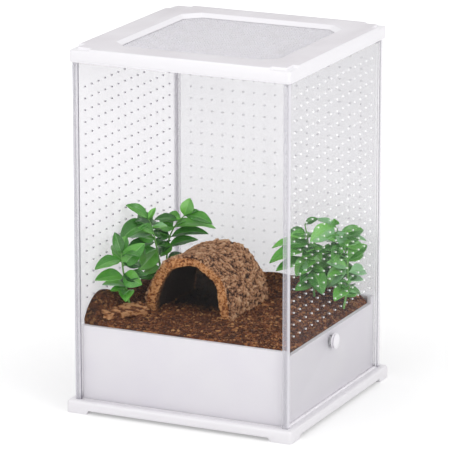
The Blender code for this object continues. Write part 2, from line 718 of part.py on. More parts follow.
def add_leaf(bm, base, tip, width, tilt):
    """One pointed leaf as a folded, bowed sheet, its stalk end on the stem's middle line."""
    forward = (tip - base).normalized()
    length = (tip - base).length
    tilt = math.radians(tilt)
    facing = Vector((0, 0, math.cos(tilt))) + FRONT_LIGHT * math.sin(tilt)
    side = forward.cross(facing).normalized()
    up = side.cross(forward)
    sheet = bmesh.ops.create_grid(bm, x_segments=LEAF_STEPS, y_segments=2, size=0.5)
    for vert in sheet["verts"]:
        share = vert.co.x + 0.5
        across = vert.co.y * 2
        half = max(width / 2 * math.sin(HALF_TURN * share ** LEAF_BELLY), STEM_DIAMETER * LEAF_END)
        bow = LEAF_BOW * length * 4 * share * (1 - share)
        place = base + forward * (share * length) + side * (across * half)
        vert.co = place + up * (bow + LEAF_FOLD * half * abs(across))


def make_plants():
    """Leafy stems, each fused with its leaves into one body."""
    for name, (stem, leaves) in PLANTS.items():
        plant = stem_tube(name, stem)
        bm = bmesh.new()
        for share, tip, width, tilt in leaves:
            add_leaf(bm, stem_point(stem, share), plant_point(tip), width * PLANT_UNIT, tilt)
        mesh = bpy.data.meshes.new(name + "_leaves")
        bm.to_mesh(mesh)
        bm.free()
        sheets = add_object(name + "_leaves", mesh)
        wall = sheets.modifiers.new("wall", "SOLIDIFY")
        wall.thickness = LEAF_WALL
        wall.offset = 0
        join(plant, sheets, crossing=True)
        finish(plant, GREEN, 0.5)


def make_lid():
    """White lid: skirt, square window with leaning walls, and an L-shaped recess at each corner."""
    lid = plate("lid_frame", [rounded_square(LID_HALF, LID_CORNER)], SKIRT_BOTTOM, LID_TOP)
    round_top(lid, LID_ROUND, 2)
    inside = rounded_square(SKIRT_IN, LID_CORNER - SKIRT_WALL, 3)
    cut(lid, plate("lid_inside", [inside], SKIRT_BOTTOM - LID_PLATE, LID_UNDER))
    slope = WINDOW_SLANT / LID_PLATE
    window = plate("lid_window", [chamfered_square(WINDOW_HALF, WINDOW_CHAMFER)], LID_UNDER - GAP, LID_TOP + GAP)
    for vert in window.data.vertices:
        height = vert.co.z + window.location.z
        share = 1 + slope * (height - LID_TOP) / WINDOW_HALF
        vert.co.x *= share
        vert.co.y *= share
    cut(lid, window)
    ring = [rounded_square(LID_HALF * 1.1, LID_CORNER), rounded_square(RECESS_IN, GAP, 1)]
    recess = plate("lid_recess", ring, RECESS_FLOOR, LID_TOP + RECESS_DEPTH)
    gap_high = RECESS_END - 2 * RECESS_SLANT
    corner_gaps(recess, RECESS_END, gap_high, RECESS_FLOOR - GAP, LID_TOP + RECESS_DEPTH + GAP, LID_HALF * 2)
    cut(lid, recess)
    for name, turns in (("front", 3), ("back", 1), ("left", 2), ("right", 0)):
        place = quarter_turns([Vector((SCREW_PLACE, 0))], turns)[0]
        hole = rod("screw_hole_" + name, SCREW_SHANK + 2 * SCREW_HOLE_GAP, RING_BOTTOM, screw_tip() + GAP, 12)
        hole.location = (place.x, place.y, 0)
        cut(lid, hole)
    finish(lid, WHITE, 0.4)


def screw_tip():
    """Height that the retainer screws reach in the lid's plate."""
    return LID_UNDER + SCREW_BITE


def make_lid_mesh():
    """The mesh sheet, the ring under it and the ring's four screws."""
    ring_in = WINDOW_HALF - RING_LAP
    outlines = [rounded_square(WINDOW_HALF, RING_LAP, 2)] + square_openings(ring_in, MESH_OPENINGS, MESH_BAR)
    sheet = plate("lid_mesh", outlines, MESH_TOP - MESH_WALL, MESH_TOP)
    finish(sheet, MESH_GREY, 0.5)
    outlines = [rounded_square(ring_in + RING_WIDTH, RING_LAP, 3), rounded_square(ring_in, RING_LAP, 3)]
    ring = plate("mesh_retainer", outlines, RING_BOTTOM, RING_TOP)
    head_top = RING_BOTTOM - GAP
    head_low = head_top - SCREW_HEAD_HEIGHT
    for name, turns in (("front", 3), ("back", 1), ("left", 2), ("right", 0)):
        place = quarter_turns([Vector((SCREW_PLACE, 0))], turns)[0]
        hole = rod("ring_hole_" + name, SCREW_SHANK + 2 * SCREW_HOLE_GAP, RING_BOTTOM - GAP, RING_TOP + GAP, 12)
        hole.location = (place.x, place.y, 0)
        cut(ring, hole)
        shank = SCREW_SHANK / 2
        head = SCREW_HEAD / 2
        profile = (
            (0, screw_tip()), (shank, screw_tip()), (shank, head_top), (head, head_top),
            (head, (head_top + head_low) / 2), (head * 0.7, head_low), (0, head_low),
        )
        screw = turned("retainer_screw_" + name, profile, 12)
        screw.location = (place.x, place.y, 0)
        smooth_round(screw)
        finish(screw, STEEL, 0.3, metallic=1.0)
    finish(ring, WHITE, 0.4)


def main():
    """Builds the whole terrarium."""
    clear_scene()
    make_base()
    make_posts()
    make_panels()
    make_door()
    make_knob()
    make_tray()
    make_soil()
    make_bark()
    make_plants()
    make_lid()
    make_lid_mesh()


main()
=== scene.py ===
"""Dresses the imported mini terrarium: a clear box with air holes, a planted tray and a white mesh lid.

It is laid out as an add-on and run as a script. Lengths are metres, in the frame of the CAD model.
"""
import contextlib
import math
import random

import bpy
import numpy
from mathutils import Matrix, Vector, noise


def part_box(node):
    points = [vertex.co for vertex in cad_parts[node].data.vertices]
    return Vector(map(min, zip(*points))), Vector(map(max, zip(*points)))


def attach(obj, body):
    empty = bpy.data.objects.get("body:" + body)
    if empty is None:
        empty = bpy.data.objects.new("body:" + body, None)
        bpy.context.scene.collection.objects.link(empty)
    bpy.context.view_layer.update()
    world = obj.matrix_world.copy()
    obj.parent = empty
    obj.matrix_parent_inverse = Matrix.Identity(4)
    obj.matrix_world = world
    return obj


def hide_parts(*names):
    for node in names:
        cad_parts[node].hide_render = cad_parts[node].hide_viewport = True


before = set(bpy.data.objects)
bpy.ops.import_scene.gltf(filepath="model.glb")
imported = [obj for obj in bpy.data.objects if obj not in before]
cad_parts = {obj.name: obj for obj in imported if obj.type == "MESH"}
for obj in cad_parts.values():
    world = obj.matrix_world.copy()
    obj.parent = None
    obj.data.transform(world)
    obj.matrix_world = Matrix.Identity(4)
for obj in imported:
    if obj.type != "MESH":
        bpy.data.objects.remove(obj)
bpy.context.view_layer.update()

bl_info = {
    "name": "Mini terrarium",
    "version": (1, 0, 0),
    "blender": (4, 5, 0),
    "location": "View3D > Sidebar > Terrarium",
    "description": "Builds a planted terrarium around its CAD frame",
    "category": "Add Mesh",
}

MM = 0.001
SEED = 11

# Camera, from a fit to the box's corners in a 450 x 450 picture
CAMERA_AIM = Vector((0.0, 0.0, 0.155))
CAMERA_DISTANCE = 3.074
CAMERA_AZIMUTH = math.radians(25.07)
CAMERA_ELEVATION = math.radians(14.94)
CAMERA_YAW = math.radians(25.15)
CAMERA_PITCH = math.radians(15.03)
CAMERA_LENS = 290.45

# Soil surface, by the same formula as the CAD solid: level, with a mound at the left, banked against the left
# and back sheets, lower along the door, and easing down to its free edges
SOIL_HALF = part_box("substrate")[1].x
TRAY_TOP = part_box("substrate_tray")[1].z
SOIL_EDGE = TRAY_TOP + 0.0004
SOIL_FILL = 0.003
SOIL_LEVEL = SOIL_EDGE + SOIL_FILL
SOIL_EASE = 0.008
LEFT_BANK = 0.008
LEFT_BANK_WIDTH = 0.013
BACK_BANK = 0.007
BACK_BANK_WIDTH = 0.016
MOUND = 0.011
MOUND_Y = -0.062
MOUND_WIDTH = 0.026
RIPPLE = 0.0007
SILL_DROP = 0.006
SILL_REACH = 0.020

# Where the mound spills over the tray's wall: how high it has to stand, how wide a strip leans, and the gap that
# it keeps to the sheet
SPILL_RISE = 0.0006
SPILL_WIDTH = 0.006
SPILL_GAP = 0.0004

# Painted shade on the soil under the bark: half its width, and how far behind the bark's mouth it starts
BARK_SHADE_HALF = 0.034
BARK_SHADE_START = 0.012
# Darker soil on the mound: how much darker, and where that starts
MOUND_DARKENING = 0.45
MOUND_DARK_X = -0.060

# Crumbs are held under this size
CRUMB_LIMIT = 0.0029

# Cork bark half tube that lies along Y, by nearly the same formula as the CAD solid
BARK_X = -0.020
BARK_FRONT = -0.040
BARK_LENGTH = 0.074
BARK_HALF = 0.040
BARK_RISE = 0.0535
BARK_WALL = 0.009
BARK_POWER = 2.25
BARK_FALL = 0.0045
BARK_BASE = SOIL_LEVEL - 0.002
# How far painted light reaches into the tube, browning the hollow's skin near its mouth
BARK_PAINTED_LIGHT = 0.022

# Loose chip of bark on the mound
CHIP_MIDDLE = Vector((-0.068, -0.064, SOIL_LEVEL + 0.0042))
CHIP_LENGTH = 0.042
CHIP_WIDTH = 0.016
CHIP_THICKNESS = 0.0044
CHIP_TURN = ((60, "Z"), (1, "Y"), (12, "X"))

# Air holes: places of the columns along a sheet, and heights of the rows
SIDE_COLUMNS = [-0.0815 + 0.01225 * step for step in range(14)]
BACK_COLUMNS = [-0.0816 + 0.01007 * step for step in range(17)]
SIDE_ROWS = [0.0860 + 0.01010 * step for step in range(21)]
BACK_ROWS = [0.0900 + 0.01020 * step for step in range(21)]

# Plants in millimetres: x, y, and z above the soil's level. Each stem has a foot, a middle and a tip.
# A leaf is (share of the stem, tip, width, tilt in degrees of its face from the sky to the front light).
FRONT_LIGHT = Vector((0.43, -0.90, 0.0))
PLANTS = {
    "plant_front_left": (
        ((-71, -48, 0), (-74, -54, 35), (-75, -56, 53)),
        (
            (0.75, (-90, -76, 41), 12, 35), (0.42, (-91, -74, 31), 13, 40), (0.27, (-90, -62, 24), 10, 15),
            (0.60, (-58, -45, 60), 14, 55), (0.46, (-55, -57, 27), 14, 80), (0.22, (-66, -66, 13), 12, 70),
            (0.95, (-82, -54, 69), 9, 60), (0.94, (-76, -45, 64), 8, 60), (0.68, (-87, -48, 52), 8, 30),
        ),
    ),
    "plant_middle_left": (
        ((-66, 8, 0), (-70, 0, 47), (-75, -5, 70)),
        (
            (0.98, (-90, -17, 83), 10, 30), (0.97, (-70, 0, 79), 5, 50), (0.86, (-90, -29, 54), 15, 25),
            (0.64, (-90, -11, 53), 12, 30), (0.52, (-89, -20, 42), 13, 25), (0.42, (-78, -18, 27), 14, 80),
            (0.25, (-79, -6, 20), 8, 50), (0.76, (-64, 10, 61), 7, 35),
        ),
    ),
    "plant_back_left": (
        ((-72, 34, 0), (-76, 36, 38), (-61, 40, 64)),
        (
            (0.97, (-59, 45, 78), 11, 80), (1.00, (-51, 45, 68), 5, 40), (0.98, (-37, 43, 58), 12, 25),
            (0.92, (-78, 40, 62), 9, 65), (0.88, (-83, 24, 61), 10, 20), (0.75, (-37, 50, 52), 13, 25),
            (0.58, (-43, 48, 47), 12, 25), (0.53, (-77, 23, 29), 11, 80), (0.44, (-54, 50, 40), 11, 25),
        ),
    ),
    "plant_back_middle": (
        ((54, 56, 0), (48, 60, 34), (42, 62, 62)),
        (
            (1.00, (52, 67, 67), 6, 40), (0.84, (33, 49, 52), 8, 25), (0.76, (35, 56, 42), 9, 80),
            (0.62, (20, 37, 31), 15, 30), (0.68, (17, 49, 41), 11, 20), (0.44, (25, 40, 24), 13, 20),
            (0.34, (67, 44, 7), 15, 30), (0.68, (59, 60, 32), 11, 80), (0.15, (42, 42, 8), 10, 30),
            (0.52, (42, 44, 20), 12, 40),
        ),
    ),
    "plant_back_right": (
        ((82, 54, 0), (80, 66, 32), (65, 72, 62)),
        (
            (0.99, (69, 62, 70), 7, 65), (0.97, (52, 51, 50), 15, 50), (0.90, (79, 64, 44), 11, 20),
            (0.96, (49, 71, 65), 7, 25), (0.76, (89, 86, 47), 8, 15), (0.50, (90, 86, 43), 12, 30),
            (0.38, (90, 84, 19), 12, 50), (0.28, (90, 80, 13), 8, 30), (0.45, (66, 55, 10), 14, 35),
            (0.22, (80, 39, 4), 12, 35), (0.12, (90, 66, 5), 8, 35), (0.74, (73, 52, 33), 10, 20),
        ),
    ),
}
# How many smaller leaves grow between those
FILLING_LEAVES = {
    "plant_front_left": 9, "plant_middle_left": 14, "plant_back_left": 10,
    "plant_back_middle": 26, "plant_back_right": 38,
}
# The stems at the back right have paler leaves
PALER = {"plant_back_right": 0.3, "plant_back_middle": 0.1}
# Leaves stay this far from the middle, inside the sheets, and the tips of smaller ones a little further in
LEAF_REACH = 0.0925
SMALL_LEAF_REACH = 0.091
# Smaller leaves keep this far from the bark, beside it and at its ends, unless they are above this height
BARK_CLEAR_SIDE = 0.008
BARK_CLEAR_END = 0.006
BARK_CLEAR_TOP = 0.145
# Radius of a stem near its foot
STEM_RADIUS = 0.0009
# Leaves are measured where they lean, so they are made a little wider
LEAF_WIDTH_SHARE = 1.08
# Half the width of a leaf's own short stalk
LEAF_STALK = 0.00045


def linear(text):
    """An sRGB hex colour as the linear values that Blender works in."""
    values = [int(text[place:place + 2], 16) / 255 for place in (0, 2, 4)]
    return tuple(value / 12.92 if value <= 0.04045 else ((value + 0.055) / 1.055) ** 2.4 for value in values)


def every(mm):
    """Texture scale at which a pattern on Object coordinates repeats about every so many millimetres."""
    return 1000 / mm


def add(tree, kind, inputs=None, stops=None, **settings):
    """Adds a shader node with its settings, its inputs set or linked by name or number, and its ramp's stops.

    A node that is given for an input stands for its first output.
    """
    made = tree.nodes.new("ShaderNode" + kind)
    for option, value in settings.items():
        setattr(made, option, value)
    for name, value in (inputs or {}).items():
        socket = made.inputs[name]
        if isinstance(value, bpy.types.Node):
            value = value.outputs[0]
        if isinstance(value, bpy.types.NodeSocket):
            tree.links.new(value, socket)
        else:
            socket.default_value = (*value, 1.0) if socket.type == "RGBA" else value
    if stops:
        ramp = made.color_ramp.elements
        while len(ramp) < len(stops):
            ramp.new(0.5)
        for stop, (place, colour) in zip(ramp, stops):
            stop.position = place
            stop.color = (*colour, 1.0)
    return made


def make_material(name, recipe, *settings):
    """A node material whose recipe adds its nodes and says what its Principled shader takes.

    A recipe is given the nodes and the Object coordinate that patterns are drawn on.
    """
    made = bpy.data.materials.new(name)
    made.use_nodes = True
    tree = made.node_tree
    tree.nodes.clear()
    place = add(tree, "TexCoord").outputs["Object"]
    shader = add(tree, "BsdfPrincipled", recipe(tree, place, *settings))
    add(tree, "OutputMaterial", {"Surface": shader})
    return made


def background_rays(tree):
    """1 on rays that show the camera a background: straight, mirrored or let through. Otherwise 0."""
    path = add(tree, "LightPath")
    seen = add(tree, "Math", {0: path.outputs["Is Camera Ray"], 1: path.outputs["Is Glossy Ray"]}, operation="MAXIMUM")
    return add(tree, "Math", {0: seen, 1: path.outputs["Is Transmission Ray"]}, operation="MAXIMUM")


def moulded_polystyrene(tree, place, white, low):
    """White high-impact polystyrene, injection moulded: satin, even, faintly waxy, with a fine mould grain."""
    flow = add(tree, "TexNoise", {"Vector": place, "Scale": every(45), "Detail": 2.0})
    # Mould grain is about 0.1 mm, drawn at 0.7 mm so that it shows
    grain = add(tree, "TexNoise", {"Vector": place, "Scale": every(0.7), "Detail": 3.0})
    colour = add(tree, "Mix", {0: flow, 6: white, 7: low}, data_type="RGBA")
    rough = add(tree, "MapRange", {"Value": grain, "To Min": 0.32, "To Max": 0.46})
    bump = add(tree, "Bump", {"Height": grain, "Strength": 0.06, "Distance": 0.0002})
    return {"Base Color": colour.outputs[2], "Roughness": rough, "Normal": bump, "IOR": 1.59}


def gloss_abs(tree, place, colours):
    """White ABS moulded in a mirror-finish tool: the knob's glossy face, with very faint flow marks."""
    flow = add(tree, "TexNoise", {"Vector": place, "Scale": every(5), "Detail": 2.0})
    # Flow marks: random tone between the base white and the lighter white that paints light on the lid's walls
    colour = add(tree, "Mix", {0: flow, 6: colours.polished, 7: colours.white}, data_type="RGBA")
    rough = add(tree, "MapRange", {"Value": flow, "To Min": 0.12, "To Max": 0.2})
    bump = add(tree, "Bump", {"Height": flow, "Strength": 0.04, "Distance": 0.0002})
    return {"Base Color": colour.outputs[2], "Roughness": rough, "Normal": bump, "IOR": 1.54}


def acrylic_sheet(tree, place, tint, face, edge):
    """Acrylic sheet: clear face on, whiter at a glancing look, with a faint haze. A drilled sheet is hazier."""
    wiped = add(tree, "Mapping", {"Vector": place, "Scale": (1.0, 1.0, 0.35)})
    haze = add(tree, "TexNoise", {"Vector": wiped, "Scale": every(40), "Detail": 3.0})
    facing = add(tree, "LayerWeight", {"Blend": 0.5}).outputs["Facing"]
    glance = add(tree, "Math", {0: facing, 1: 3.0}, operation="POWER")
    clear = add(tree, "MapRange", {"Value": glance, "To Min": face, "To Max": edge})
    uneven = add(tree, "MapRange", {"Value": haze, "To Min": 0.9, "To Max": 1.1})
    alpha = add(tree, "Math", {0: clear, 1: uneven}, operation="MULTIPLY", use_clamp=True)
    return {"Base Color": tint, "Roughness": 0.08, "Alpha": alpha, "IOR": 1.49}


def drilled_acrylic(tree, place, tint, highlight_glow):
    """The wall of a drilled hole or a sawn edge: frosted by the tool, most where the drill came out.

    Grey hole walls are painted shade, and white ones with a faint emission are a painted highlight.
    """
    depth = add(tree, "Attribute", attribute_name="depth").outputs["Fac"]
    # Tool marks are about 0.2 mm apart, drawn at 0.8 mm
    marks = add(tree, "TexNoise", {"Vector": place, "Scale": every(0.8), "Detail": 3.0})
    rough = add(tree, "MapRange", {"Value": marks, "To Min": 0.25, "To Max": 0.45})
    bump = add(tree, "Bump", {"Height": marks, "Strength": 0.2, "Distance": 0.0002})
    alpha = add(tree, "MapRange", {"Value": depth, "From Min": 0.35, "From Max": 0.75, "To Min": 0.06, "To Max": 0.95})
    return {
        "Base Color": tint, "Roughness": rough, "Normal": bump, "Alpha": alpha, "IOR": 1.49,
        "Emission Color": (1, 1, 1), "Emission Strength": highlight_glow}


def extruded_pvc(tree, place, colours, face, edge):
    """Clear PVC corner profile: extruded, so faint streaks run up it and its bend looks milky."""
    drawn = add(tree, "Mapping", {"Vector": place, "Scale": (1.0, 1.0, 0.01)})
    # Die lines are about 0.6 mm apart, drawn at 1.2 mm
    streaks = add(tree, "TexNoise", {"Vector": drawn, "Scale": every(1.2), "Detail": 3.0})
    facing = add(tree, "LayerWeight", {"Blend": 0.5}).outputs["Facing"]
    glance = add(tree, "MapRange", {"Value": facing, "From Min": 0.2, "From Max": 0.55})
    milky = add(tree, "MapRange", {"Value": glance, "To Min": face, "To Max": edge})
    uneven = add(tree, "MapRange", {"Value": streaks, "From Min": 0.3, "From Max": 0.7, "To Min": 0.92, "To Max": 1.06})
    alpha = add(tree, "Math", {0: milky, 1: uneven}, operation="MULTIPLY", use_clamp=True)
    body = add(tree, "Mix", {0: streaks, 6: colours.profile, 7: colours.white_low}, data_type="RGBA")
    colour = add(tree, "Mix", {0: glance, 6: body.outputs[2], 7: colours.profile_edge}, data_type="RGBA")
    bump = add(tree, "Bump", {"Height": streaks, "Strength": 0.05, "Distance": 0.0002})
    return {"Base Color": colour.outputs[2], "Roughness": 0.12, "Normal": bump, "Alpha": alpha, "IOR": 1.53}


def stainless_steel(tree, place, colours):
    """Stainless steel of pins, screws and discs: ground bright, with fine lines and a soft shine."""
    ground = add(tree, "TexNoise", {"Vector": place, "Scale": every(0.5), "Detail": 4.0})
    colour = add(tree, "Mix", {0: ground, 6: colours.steel, 7: linear("A9A9AC")}, data_type="RGBA")
    rough = add(tree, "MapRange", {"Value": ground, "To Min": 0.22, "To Max": 0.4})
    return {"Base Color": colour.outputs[2], "Roughness": rough, "Metallic": 1.0}


def coated_wire(tree, place, colours):
    """Woven wire cloth under a pale lacquer: satin, a little uneven in tone."""
    lacquer = add(tree, "TexNoise", {"Vector": place, "Scale": every(9), "Detail": 3.0})
    colour = add(tree, "Mix", {0: lacquer, 6: colours.wire, 7: colours.white_low}, data_type="RGBA")
    rough = add(tree, "MapRange", {"Value": lacquer, "To Min": 0.4, "To Max": 0.55})
    return {"Base Color": colour.outputs[2], "Roughness": rough}


def coir_soil(tree, place, colours):
    """Damp coir and leaf mould: dull and crumbly, each crumb with its own tone, with tan fibres."""
    # Crumbs are 2 to 4 mm
    crumbs = add(tree, "TexVoronoi", {"Vector": place, "Scale": every(2.6)})
    patches = add(tree, "TexNoise", {"Vector": place, "Scale": every(28), "Detail": 3.0})
    grit = add(tree, "TexNoise", {"Vector": place, "Scale": every(1.1), "Detail": 6.0, "Roughness": 0.7})
    grey = add(tree, "RGBToBW", {0: crumbs.outputs["Color"]})
    tone = add(tree, "Math", {0: grey, 1: grit}, operation="ADD")
    half = add(tree, "Math", {0: tone, 1: 0.5}, operation="MULTIPLY")
    base = add(tree, "ValToRGB", {0: half}, stops=(
        (0.22, colours.soil_dark), (0.42, colours.soil), (0.60, colours.soil_light), (0.72, colours.fibre)))
    damp = add(tree, "MapRange", {"Value": patches, "From Min": 0.35, "From Max": 0.65, "To Min": 0.65, "To Max": 1.15})
    # Under the bark the soil is darkened as painted shade, and on the mound at the left it is darker too
    wet = add(tree, "Attribute", attribute_name="wet").outputs["Fac"]
    undarkened = add(tree, "MapRange", {"Value": wet, "To Min": 1.0, "To Max": 0.1})
    light = add(tree, "Math", {0: damp, 1: undarkened}, operation="MULTIPLY")
    colour = add(tree, "Mix", {0: 1.0, 6: base, 7: light}, data_type="RGBA", blend_type="MULTIPLY")
    bump = add(tree, "Bump", {"Height": grit, "Strength": 0.8, "Distance": 0.0008})
    return {"Base Color": colour.outputs[2], "Roughness": 0.95, "Normal": bump}


def soil_crumb(tree, place, colours):
    """Loose crumbs of coir, bark dust and black soil. Each has its own tone, held as an attribute."""
    tone = add(tree, "Attribute", attribute_name="tone").outputs["Fac"]
    grit = add(tree, "TexNoise", {"Vector": place, "Scale": every(0.8), "Detail": 4.0})
    mixed = add(tree, "Math", {0: grit, 1: 0.35, 2: tone}, operation="MULTIPLY_ADD")
    shifted = add(tree, "Math", {0: mixed, 1: 0.17}, operation="SUBTRACT")
    dry = add(tree, "ValToRGB", {0: shifted}, stops=(
        (0.0, colours.soil_dark), (0.35, colours.soil), (0.75, colours.soil_light), (0.95, colours.fibre)))
    # The crumbs take the same darkening: painted shade under the bark, darker on the mound
    wet = add(tree, "Attribute", attribute_name="wet").outputs["Fac"]
    undarkened = add(tree, "MapRange", {"Value": wet, "To Min": 1.0, "To Max": 0.1})
    colour = add(tree, "Mix", {0: 1.0, 6: dry, 7: undarkened}, data_type="RGBA", blend_type="MULTIPLY")
    bump = add(tree, "Bump", {"Height": grit, "Strength": 0.6, "Distance": 0.0005})
    return {"Base Color": colour.outputs[2], "Roughness": 0.92, "Normal": bump}


def cork_oak_bark(tree, place, colours):
    """Cork oak bark: grey-pink weathered plates outside, orange-brown where it was broken, and inside a near black that
    is painted shade.
    """
    relief = add(tree, "Attribute", attribute_name="relief").outputs["Fac"]
    layer = add(tree, "Attribute", attribute_name="layer").outputs["Fac"]
    patches = add(tree, "TexNoise", {"Vector": place, "Scale": every(3), "Detail": 5.0, "Roughness": 0.75})
    # Cork cells stand in grains of about half a millimetre, drawn at 0.9 mm
    grain = add(tree, "TexNoise", {"Vector": place, "Scale": every(0.9), "Detail": 5.0, "Roughness": 0.7})
    height = add(tree, "Math", {0: patches, 1: 0.7, 2: relief}, operation="MULTIPLY_ADD")
    centred = add(tree, "Math", {0: height, 1: 0.31}, operation="SUBTRACT")
    # By relief the skin darkens into the cracks and pales on the flake tips: partly the bark's own colour, partly
    # painted shade in the cracks and painted highlight on the tips
    outside = add(tree, "ValToRGB", {0: centred}, stops=(
        (0.20, colours.bark_crack), (0.36, colours.bark_dark), (0.54, colours.bark), (0.74, colours.bark_light),
        (0.95, colours.bark_pale)))
    pitted = add(tree, "Math", {0: grain, 1: 0.6, 2: centred}, operation="MULTIPLY_ADD")
    broken = add(tree, "ValToRGB", {0: pitted}, stops=(
        (0.52, colours.cork_dark), (0.80, colours.cork), (1.0, colours.cork_light)))
    # The hollow inside the tube is painted shade, near black
    hollow = add(tree, "ValToRGB", {0: pitted}, stops=((0.45, colours.cork_inside_shade), (1.0, colours.bark_crack)))
    rim = add(tree, "MapRange", {"Value": layer, "From Min": 0.55, "From Max": 0.85})
    inner = add(tree, "MapRange", {"Value": layer, "From Min": 0.4, "From Max": 0.2})
    skin = add(tree, "Mix", {0: rim, 6: broken, 7: outside}, data_type="RGBA")
    colour = add(tree, "Mix", {0: inner, 6: skin.outputs[2], 7: hollow}, data_type="RGBA")
    bump = add(tree, "Bump", {"Height": grain, "Strength": 0.7, "Distance": 0.0008})
    return {"Base Color": colour.outputs[2], "Roughness": 0.93, "Normal": bump}


def leaf_blade(tree, place, colours):
    """Waxy leaf: glossy upper skin, a pale midrib and side veins, each leaf with its own green."""
    tone = add(tree, "Attribute", attribute_name="tone").outputs["Fac"]
    split = add(tree, "SeparateXYZ", {0: place.node.outputs["UV"]})
    across = add(tree, "Math", {0: split.outputs["Y"], 1: 0.5}, operation="SUBTRACT")
    aside = add(tree, "Math", {0: across}, operation="ABSOLUTE")
    midrib = add(tree, "MapRange", {"Value": aside, "From Min": 0.012, "From Max": 0.04, "To Min": 0.5, "To Max": 0.0})
    # Side veins leave the midrib about every 2.5 mm and sweep towards the tip
    swept = add(tree, "Math", {0: aside, 1: -0.55, 2: split.outputs["X"]}, operation="MULTIPLY_ADD")
    counted = add(tree, "Math", {0: swept, 1: 9.0}, operation="MULTIPLY")
    saw = add(tree, "Math", {0: counted, 1: 0.5}, operation="PINGPONG")
    veins = add(tree, "MapRange", {"Value": saw, "From Min": 0.02, "From Max": 0.12, "To Min": 0.07, "To Max": 0.0})
    lines = add(tree, "Math", {0: midrib, 1: veins}, operation="MAXIMUM")
    mottle = add(tree, "TexNoise", {"Vector": place, "Scale": every(6), "Detail": 3.0})
    shade = add(tree, "Math", {0: mottle, 1: 0.3, 2: tone}, operation="MULTIPLY_ADD")
    # One half of a folded blade is made a little darker: painted shade, as if it faced away from the light
    half = add(tree, "Math", {0: across, 1: 0.0}, operation="GREATER_THAN")
    half_shaded = add(tree, "Math", {0: half, 1: -0.14, 2: shade}, operation="MULTIPLY_ADD")
    centred = add(tree, "Math", {0: half_shaded, 1: 0.10}, operation="SUBTRACT")
    # The palest stop, grey-green, is a painted reflection of the white surround on glossy leaves
    green = add(tree, "ValToRGB", {0: centred}, stops=(
        (0.05, colours.leaf_dark), (0.45, colours.leaf), (0.75, colours.leaf_bright), (0.95, colours.leaf_pale_reflection)))
    colour = add(tree, "Mix", {0: lines, 6: green, 7: colours.vein}, data_type="RGBA")
    bump = add(tree, "Bump", {"Height": lines, "Strength": 0.35, "Distance": 0.0004}, invert=True)
    return {
        "Base Color": colour.outputs[2], "Roughness": 0.36, "Normal": bump, "IOR": 1.45,
        "Coat Weight": 0.35, "Coat Roughness": 0.2}


def green_stem(tree, place, colours):
    """Young stem: smooth light green with darker green patches."""
    joints = add(tree, "TexNoise", {"Vector": place, "Scale": every(8), "Detail": 3.0})
    colour = add(tree, "Mix", {0: joints, 6: colours.stem, 7: colours.leaf}, data_type="RGBA")
    bump = add(tree, "Bump", {"Height": joints, "Strength": 0.3, "Distance": 0.0005})
    return {"Base Color": colour.outputs[2], "Roughness": 0.5, "Normal": bump}


def white_sweep(tree, place):
    """Matt white paper floor: the camera sees it near white, and it keeps the object's soft shadow."""
    away = add(tree, "VectorMath", {0: place}, operation="LENGTH").outputs["Value"]
    # Near the object the shadow stays, and further off the paper is overexposed
    burnt = add(tree, "MapRange", {"Value": away, "From Min": 0.14, "From Max": 0.7, "To Min": 0.32, "To Max": 0.58})
    lift = add(tree, "Math", {0: background_rays(tree), 1: burnt}, operation="MULTIPLY")
    return {
        "Base Color": linear("E6E6E6"), "Roughness": 1.0, "Emission Color": (1, 1, 1), "Emission Strength": lift,
        "Specular IOR Level": 0.0}


def clamp(value):
    """The value, held between 0 and 1."""
    return min(max(value, 0.0), 1.0)


def bell(distance, width):
    """1 at no distance, and falling smoothly to nothing at about twice the width."""
    return math.exp(-((distance / width) ** 2))


def flaked(value, layers, slope):
    """A smooth value cut into so many flat layers for each unit, with short slopes between them."""
    raised = layers * value
    return (math.floor(raised) + min((raised - math.floor(raised)) / slope, 1.0)) / layers


def nothing_selected():
    """Object mode with nothing selected, ready for a new primitive."""
    if bpy.context.mode != "OBJECT":
        bpy.ops.object.mode_set(mode="OBJECT")
    bpy.ops.object.select_all(action="DESELECT")


def select_only(*items):
    """Leaves these objects alone selected, the last one active, in object mode."""
    nothing_selected()
    for item in items:
        item.select_set(True)
    bpy.context.view_layer.objects.active = items[-1]


def select_parts(item, kind, chosen):
    """Selects those of a mesh's vertices, edges or polygons that pass a test, and nothing else in it."""
    kinds = ("vertices", "edges", "polygons")
    bpy.context.tool_settings.mesh_select_mode = [kind == other for other in kinds]
    for other in kinds:
        for part in getattr(item.data, other):
            part.select = other == kind and chosen(part)


@contextlib.contextmanager
def editing(item, whole=True):
    """Edit mode on a mesh, with all of it selected, or else with the selection that it has."""
    select_only(item)
    bpy.ops.object.mode_set(mode="EDIT")
    if whole:
        bpy.ops.mesh.select_all(action="SELECT")
    yield
    bpy.ops.object.mode_set(mode="OBJECT")


def new_object(name, data):
    """A new object from its mesh or curve, selected alone."""
    made = bpy.data.objects.new(name, data)
    bpy.context.scene.collection.objects.link(made)
    select_only(made)
    return made


def use_modifier(item, kind, **settings):
    """Adds a modifier with its settings and applies it."""
    select_only(item)
    made = item.modifiers.new(kind.lower(), kind)
    for option, value in settings.items():
        setattr(made, option, value)
    bpy.ops.object.modifier_apply(modifier=made.name)


def smooth(item, degrees):
    """Shades a piece smooth, apart from edges that turn by more than this."""
    select_only(item)
    bpy.ops.object.shade_smooth_by_angle(angle=math.radians(degrees))


def settle(item):
    """Puts a finished piece's place into its mesh."""
    select_only(item)
    bpy.ops.object.transform_apply(location=True, rotation=True, scale=True)


def finish_piece(item, name, body, materials, nodes=()):
    """Names a piece, gives it its materials and hands it to the frame."""
    item.name = name
    item.data.name = name
    while len(item.data.materials) < len(materials):
        item.data.materials.append(None)
    for number, made in enumerate(materials):
        item.data.materials[number] = made
    settle(item)
    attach(item, body)
    if nodes:
        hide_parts(*nodes)


def paint_node(node, made):
    """Gives a CAD node that stays its material."""
    item = bpy.data.objects[node]
    if not item.material_slots:
        item.data.materials.append(made)
    for place in item.material_slots:
        place.material = made


